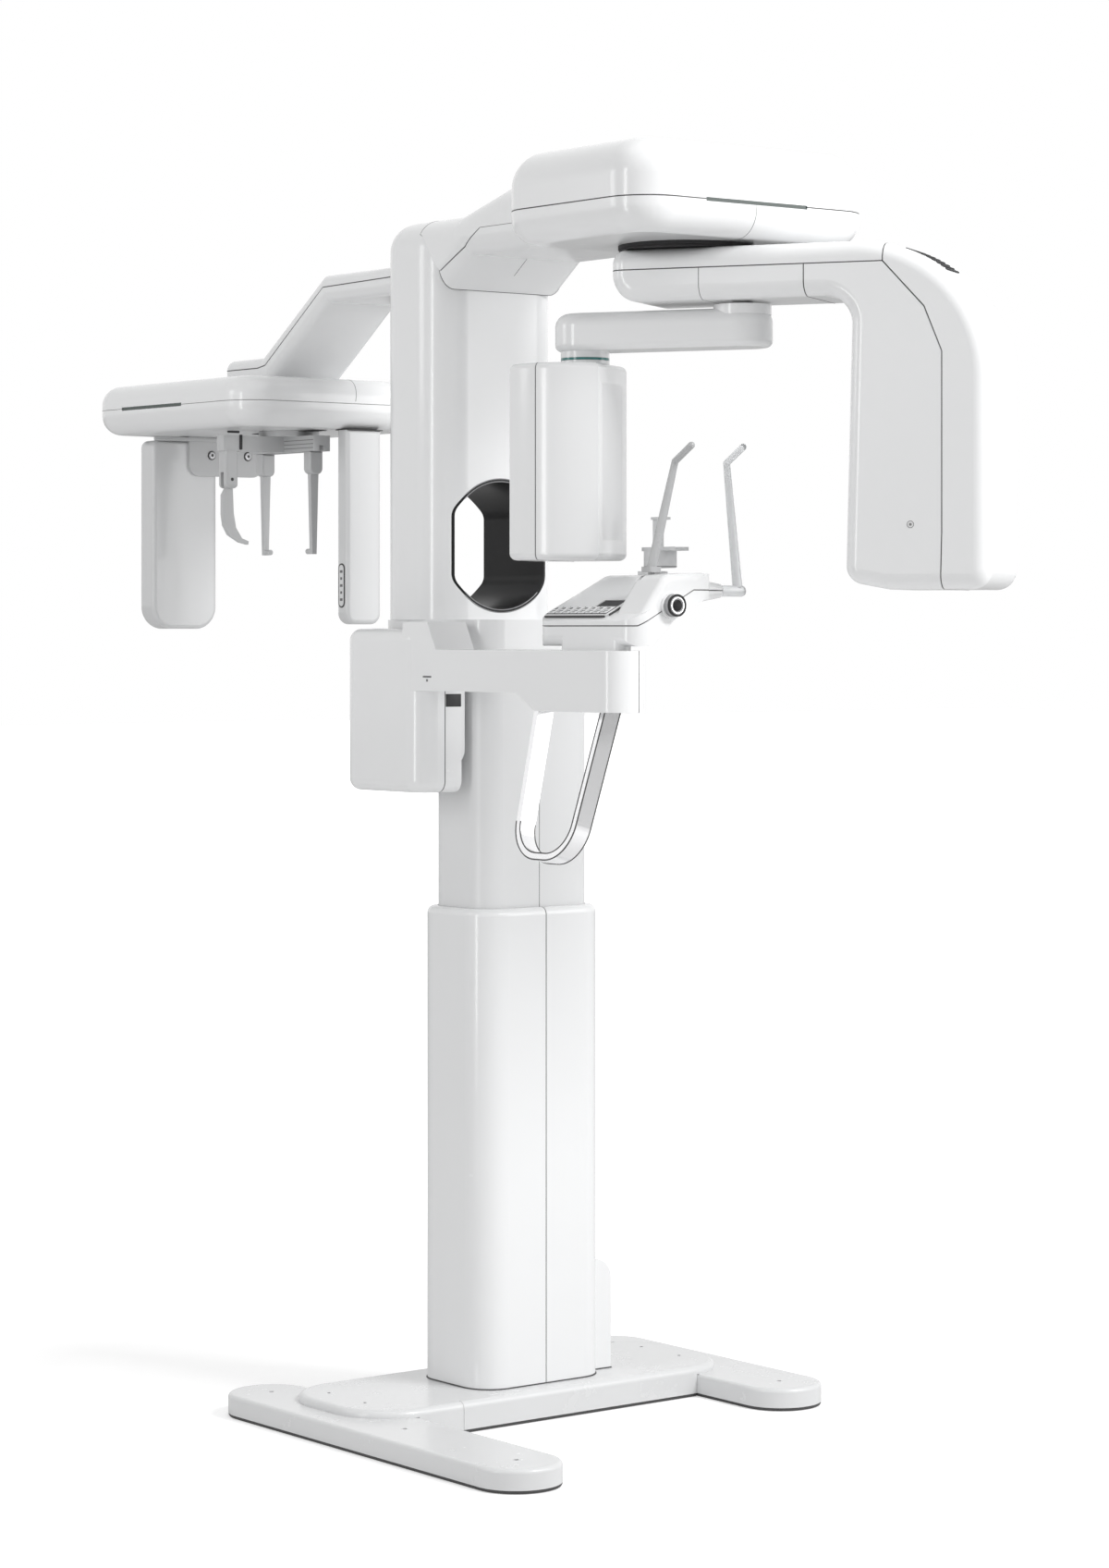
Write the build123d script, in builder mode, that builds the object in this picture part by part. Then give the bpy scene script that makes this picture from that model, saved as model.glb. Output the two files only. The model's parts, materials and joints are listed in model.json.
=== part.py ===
"""Dental panoramic and CT X-ray unit with a skull-imaging arm, built as named pieces.

Frame: +Z up, millimetres. The origin is on the floor under the middle of the lifting column.
-Y is the patient's side, +Y the side of the skull-imaging arm, -X the operator's side.
"""
from build123d import *
import math
import os

os.makedirs("parts", exist_ok=True)

# General clearances and walls
seam_gap = 0.8
running_gap = 0.3
shaft_clearance = 0.06
cover_wall = 4.0

# Base: two feet, the cross cover between them and the pads under the feet
pad_height = 6.0
pad_radius = 32.0
centre_pad_radius = 60.0
foot_top = 38.0
foot_half_width = 71.0
foot_spacing = 723.0
foot_edge_round = 7.0
left_foot_front_hole = -485.0
left_foot_middle_hole = -195.0
left_foot_back_hole = 182.0
right_foot_front_hole = -266.0
right_foot_back_hole = 179.0
anchor_hole_radius = 4.5
cross_cover_top = 51.0
cross_cover_length = 766.0
cross_cover_front = -138.0
cross_cover_back = 140.0
cross_cover_corner = 100.0
cross_cover_edge_round = 11.0
cross_cover_seam_x = -202.0

# Lower column, fixed to the base
lower_width = 262.0
lower_depth = 190.0
lower_corner = 52.0
lower_top = 839.0
lower_cap = 16.0
lower_edge_round = 12.0
telescope_gap = 1.5

# Cable inlet box beside the lower column
inlet_depth = 39.0
inlet_front = -54.0
inlet_back = 46.0
inlet_top = 237.0
inlet_round = 34.0
gland_radius = 13.0
gland_length = 12.0
gland_bore = 6.0
gland_height = 60.0

# Mast, lift drive and moving tube
mast_width = 130.0
mast_depth = 90.0
mast_wall = 6.0
mast_top = 812.0
mast_corner = 8.0
lift_motor_size = 64.0
lift_motor_top = 84.0
spindle_radius = 10.0
spindle_top = 806.0
tube_wall = 5.0
nut_height = 20.0

# Inner column, moving
inner_width = 232.0
inner_depth = 152.0
inner_corner = 40.0
inner_wall = 3.0
inner_bottom = 489.0
inner_top = 1290.0

# Carriage cover between inner and upper column
carriage_width = 254.0
carriage_front = -92.0
carriage_bottom = 1262.0
carriage_corner = 44.0

# Upper column with its window
upper_width = 262.0
upper_front = 28.0
upper_back = 208.0
upper_bottom = 1315.0
upper_top = 1985.0
upper_corner = 62.0
upper_top_round = 50.0
window_half_width = 94.0
window_low = 1332.0
window_high = 1547.0
window_side_low = 1383.0
window_side_high = 1496.0
window_corner = 26.0
liner_wall = 5.0

# Overhead beam from the upper column to the housing
beam_width = 262.0
beam_round = 32.0
beam_root_low = 1865.0
beam_root_seam = 1895.0
beam_under = 1916.0
beam_under_knee = -42.0
beam_seam = 1957.0
beam_seam_knee = -85.0
beam_top_knee = -132.0
beam_top = 2022.0

# Overhead housing
housing_half_width = 243.0
housing_front = -636.0
housing_back = -272.0
housing_bottom = 1905.0
housing_top = 2051.0
housing_corner = 70.0
housing_top_round = 58.0
housing_bottom_round = 40.0
slot_left = -111.0
slot_right = 95.0
slot_height = 6.0
slot_depth = 8.0
slot_set_back = 1.5

# Gantry: turning axis, beam and tube head, in a plane turned by gantry_angle
gantry_y = -454.0
gantry_angle = 30.0
gantry_half_width = 90.0
gantry_round = 24.0
gantry_rear = -96.0
gantry_under = 1813.0
gantry_top = 1896.0
gantry_seam = 1862.0
gantry_end_corner = 44.0
shoulder_radius = 213.0
head_outer = 520.0
head_inner_low = 288.0
head_inner_high = 299.0
head_bottom = 1360.0
head_inner_bend = 44.0
head_bottom_round = 30.0
beam_cover_end = 226.0
ring_radius = 107.0
ring_bottom = 1899.0
ring_top = 1914.0
shaft_radius = 60.0
shaft_top = 1950.0
grille_low_angle = 50.0
grille_high_angle = 74.0
grille_half_width = 38.0
grille_depth = 6.0
grille_set_back = 1.0
grille_slots = 9
grille_slot_width = 3.2
xray_unit_radius = 42.0
xray_unit_length = 150.0
xray_unit_t = 375.0
xray_unit_low = 1415.0

# Sensor arm and sensor head
arm_pivot_t = 95.0
head_pivot_t = -171.0
sensor_arm_radius = 48.0
sensor_arm_low = 1742.0
sensor_arm_high = 1803.0
sensor_arm_round = 22.0
pivot_cap_top = 1809.0
pivot_pin_radius = 16.0
pivot_pin_length = 30.0
neck_radius = 47.0
neck_ring_height = 4.0
neck_pin_radius = 18.0
neck_pin_length = 24.0
sensor_top = 1722.0
sensor_bottom = 1409.0
sensor_half_width = 89.0
sensor_front_half = 62.0
sensor_back_half = 42.0
sensor_back_t = -283.0
sensor_seam_t = -222.0
sensor_front_t = -124.0
sensor_round = 22.0

# Skull-imaging arm behind the column
skull_arm_half_width = 79.0
skull_arm_top = 1920.0
skull_arm_seam = 1902.0
skull_arm_under = 1872.0
skull_arm_knee = 446.0
skull_under_knee = 433.0
skull_slope_end = 642.0
skull_foot_end = 760.0
skull_foot_top = 1786.0
skull_foot_seam = 1767.0
skull_under_end = 613.0
skull_arm_round = 18.0
skull_head_half_width = 214.0
skull_head_front = 488.0
skull_head_back = 1002.0
skull_head_bottom = 1656.0
skull_head_top = 1745.0
skull_head_seam = 1700.0
skull_head_corner = 60.0
skull_head_round = 36.0
skull_slot_front = 690.0
skull_slot_back = 891.0

# Parts hanging under the skull-imaging head
ear_axis_y = 664.0
turntable_radius = 55.0
turntable_low = 1646.0
turntable_pin_radius = 12.0
turntable_pin_length = 18.0
rail_half_width = 18.0
rail_low = 1618.0
rail_half_length = 104.0
rail_groove = 5.0
bracket_left = -56.0
bracket_right = 105.0
bracket_low = 1583.0
bracket_thickness = 6.0
bracket_round = 22.0
cross_bar_end = -148.0
cross_bar_half_width = 11.0
ear_block_width = 28.0
ear_block_length = 22.0
ear_block_low = 1577.0
ear_front_y = 587.0
ear_back_y = 741.0
ear_rod_low = 1434.0
ear_rod_width_top = 17.0
ear_rod_width_low = 9.0
ear_rod_thickness = 9.0
ear_tip_radius = 5.0
ear_tip_length = 13.0
nasion_x = -131.0
nasion_block_size = 26.0
nasion_block_low = 1551.0
nasion_pivot_z = 1567.0
nasion_fork = 9.0
nasion_blade = 8.4
nasion_pin_radius = 2.5
nasion_drop = 99.0
nasion_reach = 40.0
detector_left = -131.0
detector_right = 8.0
detector_front = 915.0
detector_back = 967.0
detector_low = 1300.0
detector_corner = 42.0
detector_round = 14.0
hanger_height = 8.0
collimator_left = 13.0
collimator_right = 89.0
collimator_front = 500.0
collimator_back = 532.0
collimator_low = 1308.0
collimator_corner = 20.0
collimator_round = 8.0

# Control box on the operator's side of the inner column
box_left = -224.0
box_seam = -171.0
box_right = -138.0
panel_right = -131.6
box_front = -45.0
box_back = 178.0
box_bottom = 1031.0
box_top = 1300.0
box_front_corner = 38.0
box_round = 20.0
panel_front = -45.0
panel_back = 55.0
panel_bottom = 1078.0
panel_top = 1308.0
panel_corner = 24.0
socket_width = 24.0
socket_inset = 4.0
socket_height = 18.0
socket_z = 1182.0
socket_depth = 8.0

# Support arm, console and grab handle
arm_left = -222.0
arm_width = 78.0
arm_root = 4.0
arm_end = -548.0
arm_top = 1266.0
arm_under = 1199.0
arm_drop = 1171.0
arm_drop_start = -300.0
arm_drop_end = -350.0
knuckle_front = -64.0
knuckle_top = 1311.0
arm_cap_seam = -360.0
arm_cap_x = -172.0
pedestal_width = 36.0
pedestal_length = 150.0
pedestal_x = -162.0
pedestal_y = -430.0
console_left = -180.0
console_back = -294.0
console_front = -542.0
console_bottom = 1272.0
console_seam = 1304.0
panel_foot = 1312.0
console_ridge = 1386.0
ridge_x = -30.0
wing_z = 1360.0
wing_start_x = -57.0
wing_tip_x = 45.0
wing_y = -480.0
wing_root_size = 48.0
wing_tip_size = 22.0
wing_root_x = -40.0
keypad_back = -304.0
keypad_front = -464.0
keypad_height = 4.0
keypad_inset = 3.0
keypad_width = 31.0
display_back = -391.0
display_front = -447.0
display_from_foot = 46.0
display_width = 30.0
display_recess = 1.2
knob_x = -103.0
knob_z = 1336.0
knob_radius = 17.0
knob_length = 15.0
knob_pin_radius = 5.0
handle_plane_x = -183.0
handle_top_half = 86.0
handle_low_half = 66.0
handle_mid_y = -408.0
handle_lean = 62.0
handle_low = 938.0
handle_band = 30.0
handle_thickness = 11.0

# Temple rods and chin rest
hub_radius = 9.0
hub_length = 54.0
hub_stem_radius = 5.0
hub_stem_length = 38.0
rod_right_x = 86.0
rod_left_x = -92.0
rod_top_z = 1562.0
rod_lean = 36.0
rod_forward = 15.0
rod_low_radius = 8.0
rod_high_radius = 5.5
rod_tip_reach = 40.0
rod_tip_rise = 24.0
left_block_size = 24.0
left_block_high = 1397.0
temple_travel = 20.0
chin_stem_y = -372.0
chin_cup_back = -362.0
chin_cup_front = -420.0
chin_cup_radius = 22.0
chin_cup_low = 1397.0
chin_cup_high = 1424.0
chin_plate_high = 1430.0
chin_plate_back = -357.0
chin_plate_front = -449.0
chin_plate_half_width = 19.0
bite_y = -386.0
bite_radius = 6.0
bite_high = 1474.0
bite_flange = 24.0

gantry_turn = math.radians(gantry_angle)
gantry_out = Vector(math.sin(gantry_turn), -math.cos(gantry_turn), 0)
gantry_side = Vector(math.cos(gantry_turn), math.sin(gantry_turn), 0)
gantry_axis = Vector(0, gantry_y, 0)
gantry_plane = Plane(origin=gantry_axis, x_dir=gantry_out, z_dir=-gantry_side)


def on_gantry(out, height, side=0.0):
    """Point at a distance out from the gantry's axis, to its side, at a height."""
    spot = gantry_axis + gantry_out * out + gantry_side * side
    return (spot.X, spot.Y, height)


def level_plane(height, out=0.0):
    """Level plane whose X runs along the gantry, centred at a distance out from its axis."""
    return Plane(origin=on_gantry(out, height), x_dir=gantry_out, z_dir=(0, 0, 1))


def cross_plane(out):
    """Upright plane across the gantry, seen from the tube head."""
    return Plane(origin=on_gantry(out, 0), x_dir=gantry_side, z_dir=gantry_out)


def side_plane(x):
    """Upright plane with sketch X along +Y and sketch Y up, facing +X."""
    return Plane(origin=(x, 0, 0), x_dir=(0, 1, 0), z_dir=(1, 0, 0))


def front_plane(y):
    """Upright plane with sketch X along +X and sketch Y up, facing -Y."""
    return Plane(origin=(0, y, 0), x_dir=(1, 0, 0), z_dir=(0, -1, 0))


def rounded_prism(width, depth, corner, low, high, centre=(0, 0)):
    """Upright prism with a rounded rectangular outline."""
    with BuildPart() as prism:
        with BuildSketch(Plane.XY.offset(low)):
            with Locations(centre):
                RectangleRounded(width, depth, corner)
        extrude(amount=high - low)
    return prism.part


def block_between(x_low, x_high, y_low, y_high, z_low, z_high):
    """Plain block given by its two corners."""
    with BuildPart() as block:
        with BuildSketch(Plane.XY.offset(z_low)):
            with Locations(((x_low + x_high) / 2, (y_low + y_high) / 2)):
                Rectangle(x_high - x_low, y_high - y_low)
        extrude(amount=z_high - z_low)
    return block.part


def region_prism(points, plane, half_width):
    """Prism through a closed outline of straight runs, both ways from a plane."""
    with BuildPart() as prism:
        with BuildSketch(plane):
            with BuildLine():
                Polyline(*points, close=True)
            make_face()
        extrude(amount=half_width, both=True)
    return prism.part


far = 2500.0

# Feet, cross cover and pads

def make_foot(x, front_hole, back_hole, holes):
    """One foot: a long rounded bar with its anchor holes."""
    with BuildPart() as foot:
        with BuildSketch(Plane.XY.offset(pad_height)):
            with Locations((x, (front_hole + back_hole) / 2)):
                SlotCenterToCenter(back_hole - front_hole, 2 * foot_half_width, rotation=90)
        extrude(amount=foot_top - pad_height)
        fillet(foot.faces().sort_by(Axis.Z)[-1].edges(), foot_edge_round)
        with BuildSketch(Plane.XY.offset(pad_height)):
            with Locations(*[(x, y) for y in holes]):
                Circle(anchor_hole_radius)
        extrude(amount=foot_top, mode=Mode.SUBTRACT)
    return foot


left_foot_holes = (left_foot_front_hole, left_foot_middle_hole, left_foot_back_hole)
right_foot_holes = (right_foot_front_hole, right_foot_back_hole)
foot_left = make_foot(-foot_spacing / 2, left_foot_front_hole, left_foot_back_hole, left_foot_holes)
foot_left.part.label = "foot_left"
export_step(foot_left.part, "parts/foot_left.step")

foot_right = make_foot(foot_spacing / 2, right_foot_front_hole, right_foot_back_hole, right_foot_holes)
foot_right.part.label = "foot_right"
export_step(foot_right.part, "parts/foot_right.step")

with BuildPart() as levelling_pads:
    with BuildSketch(Plane.XY):
        with Locations(*[(-foot_spacing / 2, y) for y in left_foot_holes]):
            Circle(pad_radius)
            Circle(2 * anchor_hole_radius, mode=Mode.SUBTRACT)
        with Locations(*[(foot_spacing / 2, y) for y in right_foot_holes]):
            Circle(pad_radius)
            Circle(2 * anchor_hole_radius, mode=Mode.SUBTRACT)
        Circle(centre_pad_radius)
    extrude(amount=pad_height)
levelling_pads.part.label = "levelling_pads"
export_step(levelling_pads.part, "parts/levelling_pads.step")

cross_cover_middle = (cross_cover_front + cross_cover_back) / 2
cross_cover_depth = cross_cover_back - cross_cover_front
with BuildPart() as cross_cover:
    with BuildSketch(Plane.XY.offset(pad_height)):
        with Locations((0, cross_cover_middle)):
            RectangleRounded(cross_cover_length, cross_cover_depth, cross_cover_corner)
    extrude(amount=cross_cover_top - pad_height)
    fillet(cross_cover.faces().sort_by(Axis.Z)[-1].edges(), cross_cover_edge_round)
    with BuildSketch(Plane.XY.offset(pad_height)):
        for x in (-foot_spacing / 2, foot_spacing / 2):
            with Locations((x, cross_cover_middle)):
                Rectangle(2 * foot_half_width, 2 * cross_cover_depth)
    extrude(amount=foot_top - pad_height, mode=Mode.SUBTRACT)
    with BuildSketch(Plane.XY.offset(pad_height)):
        with Locations((cross_cover_seam_x, cross_cover_front)):
            Rectangle(seam_gap, 2 * cross_cover_edge_round)
    extrude(amount=cross_cover_top, mode=Mode.SUBTRACT)
cross_cover.part.label = "cross_cover"
export_step(cross_cover.part, "parts/cross_cover.step")

# Lower column covers: two shells that meet in a seam at the front and back

lower_outside = rounded_prism(lower_width, lower_depth, lower_corner, cross_cover_top, lower_top)
lower_inside = rounded_prism(
    lower_width - 2 * cover_wall, lower_depth - 2 * cover_wall, lower_corner - cover_wall,
    cross_cover_top, lower_top - lower_cap)
telescope_hole = rounded_prism(
    inner_width + 2 * telescope_gap, inner_depth + 2 * telescope_gap, inner_corner + telescope_gap,
    lower_top - lower_cap, lower_top)


def make_lower_cover(side):
    """Half of the lower column's cover, on the side given by -1 or 1."""
    half = block_between(
        *sorted((side * seam_gap / 2, side * lower_width)), -lower_depth, lower_depth, 0, far)
    with BuildPart() as cover:
        add(lower_outside)
        fillet(cover.faces().sort_by(Axis.Z)[-1].edges(), lower_edge_round)
        add(lower_inside, mode=Mode.SUBTRACT)
        add(telescope_hole, mode=Mode.SUBTRACT)
        add(half, mode=Mode.INTERSECT)
    return cover


lower_cover_left = make_lower_cover(-1)
lower_cover_left.part.label = "lower_cover_left"
export_step(lower_cover_left.part, "parts/lower_cover_left.step")

lower_cover_right = make_lower_cover(1)
lower_cover_right.part.label = "lower_cover_right"
export_step(lower_cover_right.part, "parts/lower_cover_right.step")

inlet_right = lower_width / 2 + inlet_depth
with BuildPart() as inlet_box:
    with BuildSketch(front_plane(inlet_front)):
        with BuildLine():
            Polyline(
                (lower_width / 2, cross_cover_top), (inlet_right, cross_cover_top),
                (inlet_right, inlet_top), (lower_width / 2, inlet_top), close=True)
        make_face()
        outer_corners = vertices().filter_by_position(Axis.X, inlet_right - 1, inlet_right + 1)
        fillet(outer_corners.sort_by(Axis.Z)[-1], inlet_round)
    extrude(amount=-(inlet_back - inlet_front))
    with BuildSketch(front_plane(inlet_back)):
        with Locations((lower_width / 2 + inlet_depth / 2, gland_height + cross_cover_top)):
            Circle(gland_radius)
    extrude(amount=-gland_length)
    with BuildSketch(front_plane(inlet_back + gland_length)):
        with Locations((lower_width / 2 + inlet_depth / 2, gland_height + cross_cover_top)):
            Circle(gland_bore)
    extrude(amount=2 * gland_length, mode=Mode.SUBTRACT)
inlet_box.part.label = "inlet_box"
export_step(inlet_box.part, "parts/inlet_box.step")

# Mast, lift drive and the moving tube of the column

with BuildPart() as mast:
    with BuildSketch(Plane.XY.offset(cross_cover_top)):
        RectangleRounded(mast_width, mast_depth, mast_corner)
        RectangleRounded(mast_width - 2 * mast_wall, mast_depth - 2 * mast_wall, mast_corner - mast_wall,
                         mode=Mode.SUBTRACT)
        with Locations((0, -mast_depth / 2)):
            Rectangle(mast_width / 2, 4 * mast_wall, mode=Mode.SUBTRACT)
    extrude(amount=mast_top - cross_cover_top)
mast.part.label = "mast"
export_step(mast.part, "parts/mast.step")

with BuildPart() as lift_drive:
    with BuildSketch(Plane.XY.offset(cross_cover_top)):
        RectangleRounded(lift_motor_size, lift_motor_size, mast_corner)
    extrude(amount=lift_motor_top - cross_cover_top)
    fillet(lift_drive.faces().sort_by(Axis.Z)[-1].edges(), seam_gap)
    with BuildSketch(Plane.XY.offset(lift_motor_top)):
        Circle(spindle_radius)
    extrude(amount=spindle_top - lift_motor_top)
lift_drive.part.label = "lift_drive"
export_step(lift_drive.part, "parts/lift_drive.step")

inner_tube = rounded_prism(
    inner_width - 2 * inner_wall, inner_depth - 2 * inner_wall, inner_corner - inner_wall,
    inner_bottom - 1, inner_top - tube_wall)
inner_outside = rounded_prism(inner_width, inner_depth, inner_corner, inner_bottom, inner_top)


with BuildPart() as inner_column:
    add(inner_outside)
    add(inner_tube, mode=Mode.SUBTRACT)
inner_column.part.label = "inner_column"
export_step(inner_column.part, "parts/inner_column.step")

with BuildPart() as lift_nut:
    with BuildSketch(Plane.XY.offset(inner_bottom)):
        RectangleRounded(
            inner_width - 2 * inner_wall, inner_depth - 2 * inner_wall, inner_corner - inner_wall)
        Rectangle(mast_width + 2 * telescope_gap, mast_depth + 2 * telescope_gap, mode=Mode.SUBTRACT)
        Circle(3 * spindle_radius)
        with Locations((0, -inner_depth / 4)):
            Rectangle(mast_width / 3, inner_depth / 2 - 2 * inner_wall)
        Circle(spindle_radius + shaft_clearance, mode=Mode.SUBTRACT)
    extrude(amount=nut_height)
lift_nut.part.label = "lift_nut"
export_step(lift_nut.part, "parts/lift_nut.step")

carriage_middle = (carriage_front + upper_back) / 2
with BuildPart() as carriage_cover:
    with BuildSketch(Plane.XY.offset(carriage_bottom)):
        with Locations((0, carriage_middle)):
            RectangleRounded(carriage_width, upper_back - carriage_front, carriage_corner)
    extrude(amount=upper_bottom - carriage_bottom)
    fillet(carriage_cover.faces().sort_by(Axis.Z)[0].edges(), 6 * seam_gap)
    add(inner_outside, mode=Mode.SUBTRACT)
carriage_cover.part.label = "carriage_cover"
export_step(carriage_cover.part, "parts/carriage_cover.step")

# Upper column, overhead beam and housing as whole forms, parted along their seams

upper_middle = (upper_front + upper_back) / 2
beam_tail = 89.0

with BuildPart() as housing_form:
    with BuildSketch(Plane.XY.offset(housing_bottom)):
        with Locations((0, (housing_front + housing_back) / 2)):
            RectangleRounded(2 * housing_half_width, housing_back - housing_front, housing_corner)
    extrude(amount=housing_top - housing_bottom)
    fillet(housing_form.faces().sort_by(Axis.Z)[-1].edges(), housing_top_round)
    fillet(housing_form.faces().sort_by(Axis.Z)[0].edges(), housing_bottom_round)

with BuildPart() as column_form:
    with BuildSketch(Plane.XY.offset(upper_bottom)):
        with Locations((0, upper_middle)):
            RectangleRounded(upper_width, upper_back - upper_front, upper_corner)
    extrude(amount=upper_top - upper_bottom)
    fillet(column_form.faces().sort_by(Axis.Z)[-1].edges(), upper_top_round)

beam_inside_housing = housing_back - housing_top_round
beam_rise = (beam_under - beam_root_low) / (upper_front - beam_under_knee)
beam_tail_low = beam_root_low - beam_rise * (beam_tail - upper_front)
beam_top_line = (
    (beam_tail, upper_top), (0, upper_top), (beam_top_knee, beam_top), (beam_inside_housing, beam_top))
beam_low_line = (
    (beam_inside_housing, beam_under), (beam_under_knee, beam_under), (beam_tail, beam_tail_low))


def rounded_bar(line, rest, radius):
    """Bar of the beam's width with the long edges along one line of its profile rounded."""
    heights = [point[1] for point in line]
    with BuildPart() as bar:
        with BuildSketch(side_plane(-beam_width / 2)):
            with BuildLine():
                Polyline(*line, *rest, close=True)
            make_face()
        extrude(amount=beam_width)
        long_edges = bar.edges().filter_by(
            lambda e: abs(e.center().X) > beam_width / 2 - 1 and abs(e.tangent_at(0).Z) < 0.9
            and min(heights) - 1 < e.center().Z < max(heights) + 1)
        fillet(long_edges, radius)
    return bar.part


beam_upper_form = rounded_bar(
    beam_top_line, ((beam_inside_housing, upper_bottom), (beam_tail, upper_bottom)), upper_top_round)
beam_lower_form = rounded_bar(beam_low_line, ((beam_tail, far), (beam_inside_housing, far)), beam_round)
with BuildPart() as beam_form:
    add(beam_upper_form)
    add(beam_lower_form, mode=Mode.INTERSECT)

seam_curve_top = beam_seam + 3
seam_curve_points = (
    (beam_tail, seam_curve_top), (62, beam_seam - 19), (41, beam_root_seam + 13), (25, beam_root_seam))


def beam_region(low_side):
    """Prism over the beam's lower or upper cover, parted along the side seam."""
    shift = -seam_gap / 2 if low_side else seam_gap / 2
    with BuildPart() as region:
        with BuildSketch(Plane.YZ):
            with BuildLine():
                if low_side:
                    Polyline(
                        (upper_front, 1000), (upper_front, beam_root_seam), (25, beam_root_seam + shift),
                        (beam_seam_knee, beam_seam + shift), (-far, beam_seam + shift), (-far, 1000),
                        close=True)
                else:
                    Spline(*seam_curve_points)
                    Polyline(
                        (25, beam_root_seam), (25, beam_root_seam + shift),
                        (beam_seam_knee, beam_seam + shift), (-far, beam_seam + shift), (-far, far),
                        (beam_tail, far), (beam_tail, seam_curve_top))
            make_face()
        extrude(amount=beam_width, both=True)
    return region.part


lower_region = beam_region(True)
upper_region = beam_region(False)


def window_prism(grow, low, high):
    """Window outline grown by a wall, run from one depth to another."""
    side = window_half_width + grow
    with BuildPart() as prism:
        with BuildSketch(front_plane(low)) as outline:
            with BuildLine():
                ThreePointArc((-side, window_side_high), (0, window_high + grow), (side, window_side_high))
                Line((side, window_side_high), (side, window_side_low))
                ThreePointArc((side, window_side_low), (0, window_low - grow), (-side, window_side_low))
                Line((-side, window_side_low), (-side, window_side_high))
            make_face()
            fillet(outline.vertices(), window_corner + grow)
        extrude(amount=low - high)
    return prism.part


window_hole = window_prism(0, upper_front - liner_wall, upper_back + liner_wall)
liner_seat = window_prism(liner_wall, upper_front - liner_wall, upper_back + liner_wall)

with BuildPart() as upper_column:
    add(column_form.part)
    add(liner_seat, mode=Mode.SUBTRACT)
    add(upper_region, mode=Mode.SUBTRACT)
upper_column.part.label = "upper_column"
export_step(upper_column.part, "parts/upper_column.step")

with BuildPart() as window_liner:
    add(column_form.part)
    add(liner_seat, mode=Mode.INTERSECT)
    add(window_hole, mode=Mode.SUBTRACT)
window_liner.part.label = "window_liner"
export_step(window_liner.part, "parts/window_liner.step")

with BuildPart() as beam_top_cover:
    add(beam_form.part)
    add(upper_region, mode=Mode.INTERSECT)
    add(housing_form.part, mode=Mode.SUBTRACT)
beam_top_cover.part.label = "beam_top_cover"
export_step(beam_top_cover.part, "parts/beam_top_cover.step")

with BuildPart() as beam_under_cover:
    add(beam_form.part)
    add(lower_region, mode=Mode.INTERSECT)
    add(housing_form.part, mode=Mode.SUBTRACT)
    add(column_form.part, mode=Mode.SUBTRACT)
beam_under_cover.part.label = "beam_under_cover"
export_step(beam_under_cover.part, "parts/beam_under_cover.step")

# Housing covers, indicator strip, slewing bearing and its motor

strip_form = block_between(
    slot_left, slot_right, housing_front + slot_set_back, housing_front + slot_depth,
    beam_seam - slot_height / 2, beam_seam + slot_height / 2)
strip_pocket = block_between(
    slot_left, slot_right, housing_front - slot_depth, housing_front + slot_depth,
    beam_seam - slot_height / 2, beam_seam + slot_height / 2)
above_seam = block_between(-far, far, -far, far, beam_seam + seam_gap / 2, far)
below_seam = block_between(-far, far, -far, far, 0, beam_seam - seam_gap / 2)
motor_reach = 150.0
motor_radius = 34.0
motor_low = 1925.0

with BuildPart() as housing_top_cover:
    add(housing_form.part)
    add(above_seam, mode=Mode.INTERSECT)
    add(strip_pocket, mode=Mode.SUBTRACT)
housing_top_cover.part.label = "housing_top_cover"
export_step(housing_top_cover.part, "parts/housing_top_cover.step")

with BuildPart() as gantry_motor:
    with BuildSketch(Plane.XY.offset(motor_low)):
        with Locations((motor_reach, gantry_y)):
            Circle(motor_radius)
    extrude(amount=beam_seam - seam_gap / 2 - motor_low)
gantry_motor.part.label = "gantry_motor"
export_step(gantry_motor.part, "parts/gantry_motor.step")

with BuildPart() as housing_under_cover:
    add(housing_form.part)
    add(below_seam, mode=Mode.INTERSECT)
    add(strip_pocket, mode=Mode.SUBTRACT)
    add(gantry_motor.part, mode=Mode.SUBTRACT)
    with BuildSketch(Plane.XY.offset(housing_bottom - 1)):
        with Locations((0, gantry_y)):
            Circle(ring_radius)
    extrude(amount=ring_top - housing_bottom + 1, mode=Mode.SUBTRACT)
    with BuildSketch(Plane.XY.offset(housing_bottom)):
        with Locations((0, gantry_y)):
            Circle(shaft_radius + 3 * telescope_gap)
    extrude(amount=beam_seam - housing_bottom, mode=Mode.SUBTRACT)
housing_under_cover.part.label = "housing_under_cover"
export_step(housing_under_cover.part, "parts/housing_under_cover.step")

with BuildPart() as slewing_ring:
    with BuildSketch(Plane.XY.offset(ring_bottom)):
        with Locations((0, gantry_y)):
            Circle(ring_radius)
            Circle(shaft_radius + shaft_clearance, mode=Mode.SUBTRACT)
    extrude(amount=ring_top - ring_bottom)
slewing_ring.part.label = "slewing_ring"
export_step(slewing_ring.part, "parts/slewing_ring.step")

# Gantry: shaft, covers of its beam, tube head and the X-ray source inside


def near(vertex, out, height):
    """Whether a corner of the gantry's outline lies at a distance out and a height."""
    return abs(vertex.X - out) < 0.5 and abs(vertex.Y - height) < 0.5


gantry_outline = (
    (gantry_rear, gantry_under), (gantry_rear, gantry_top), (head_outer, gantry_top),
    (head_outer, head_bottom), (head_inner_low + 70, head_bottom), (head_inner_low, head_bottom + 13),
    (head_inner_high, gantry_under))

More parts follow.
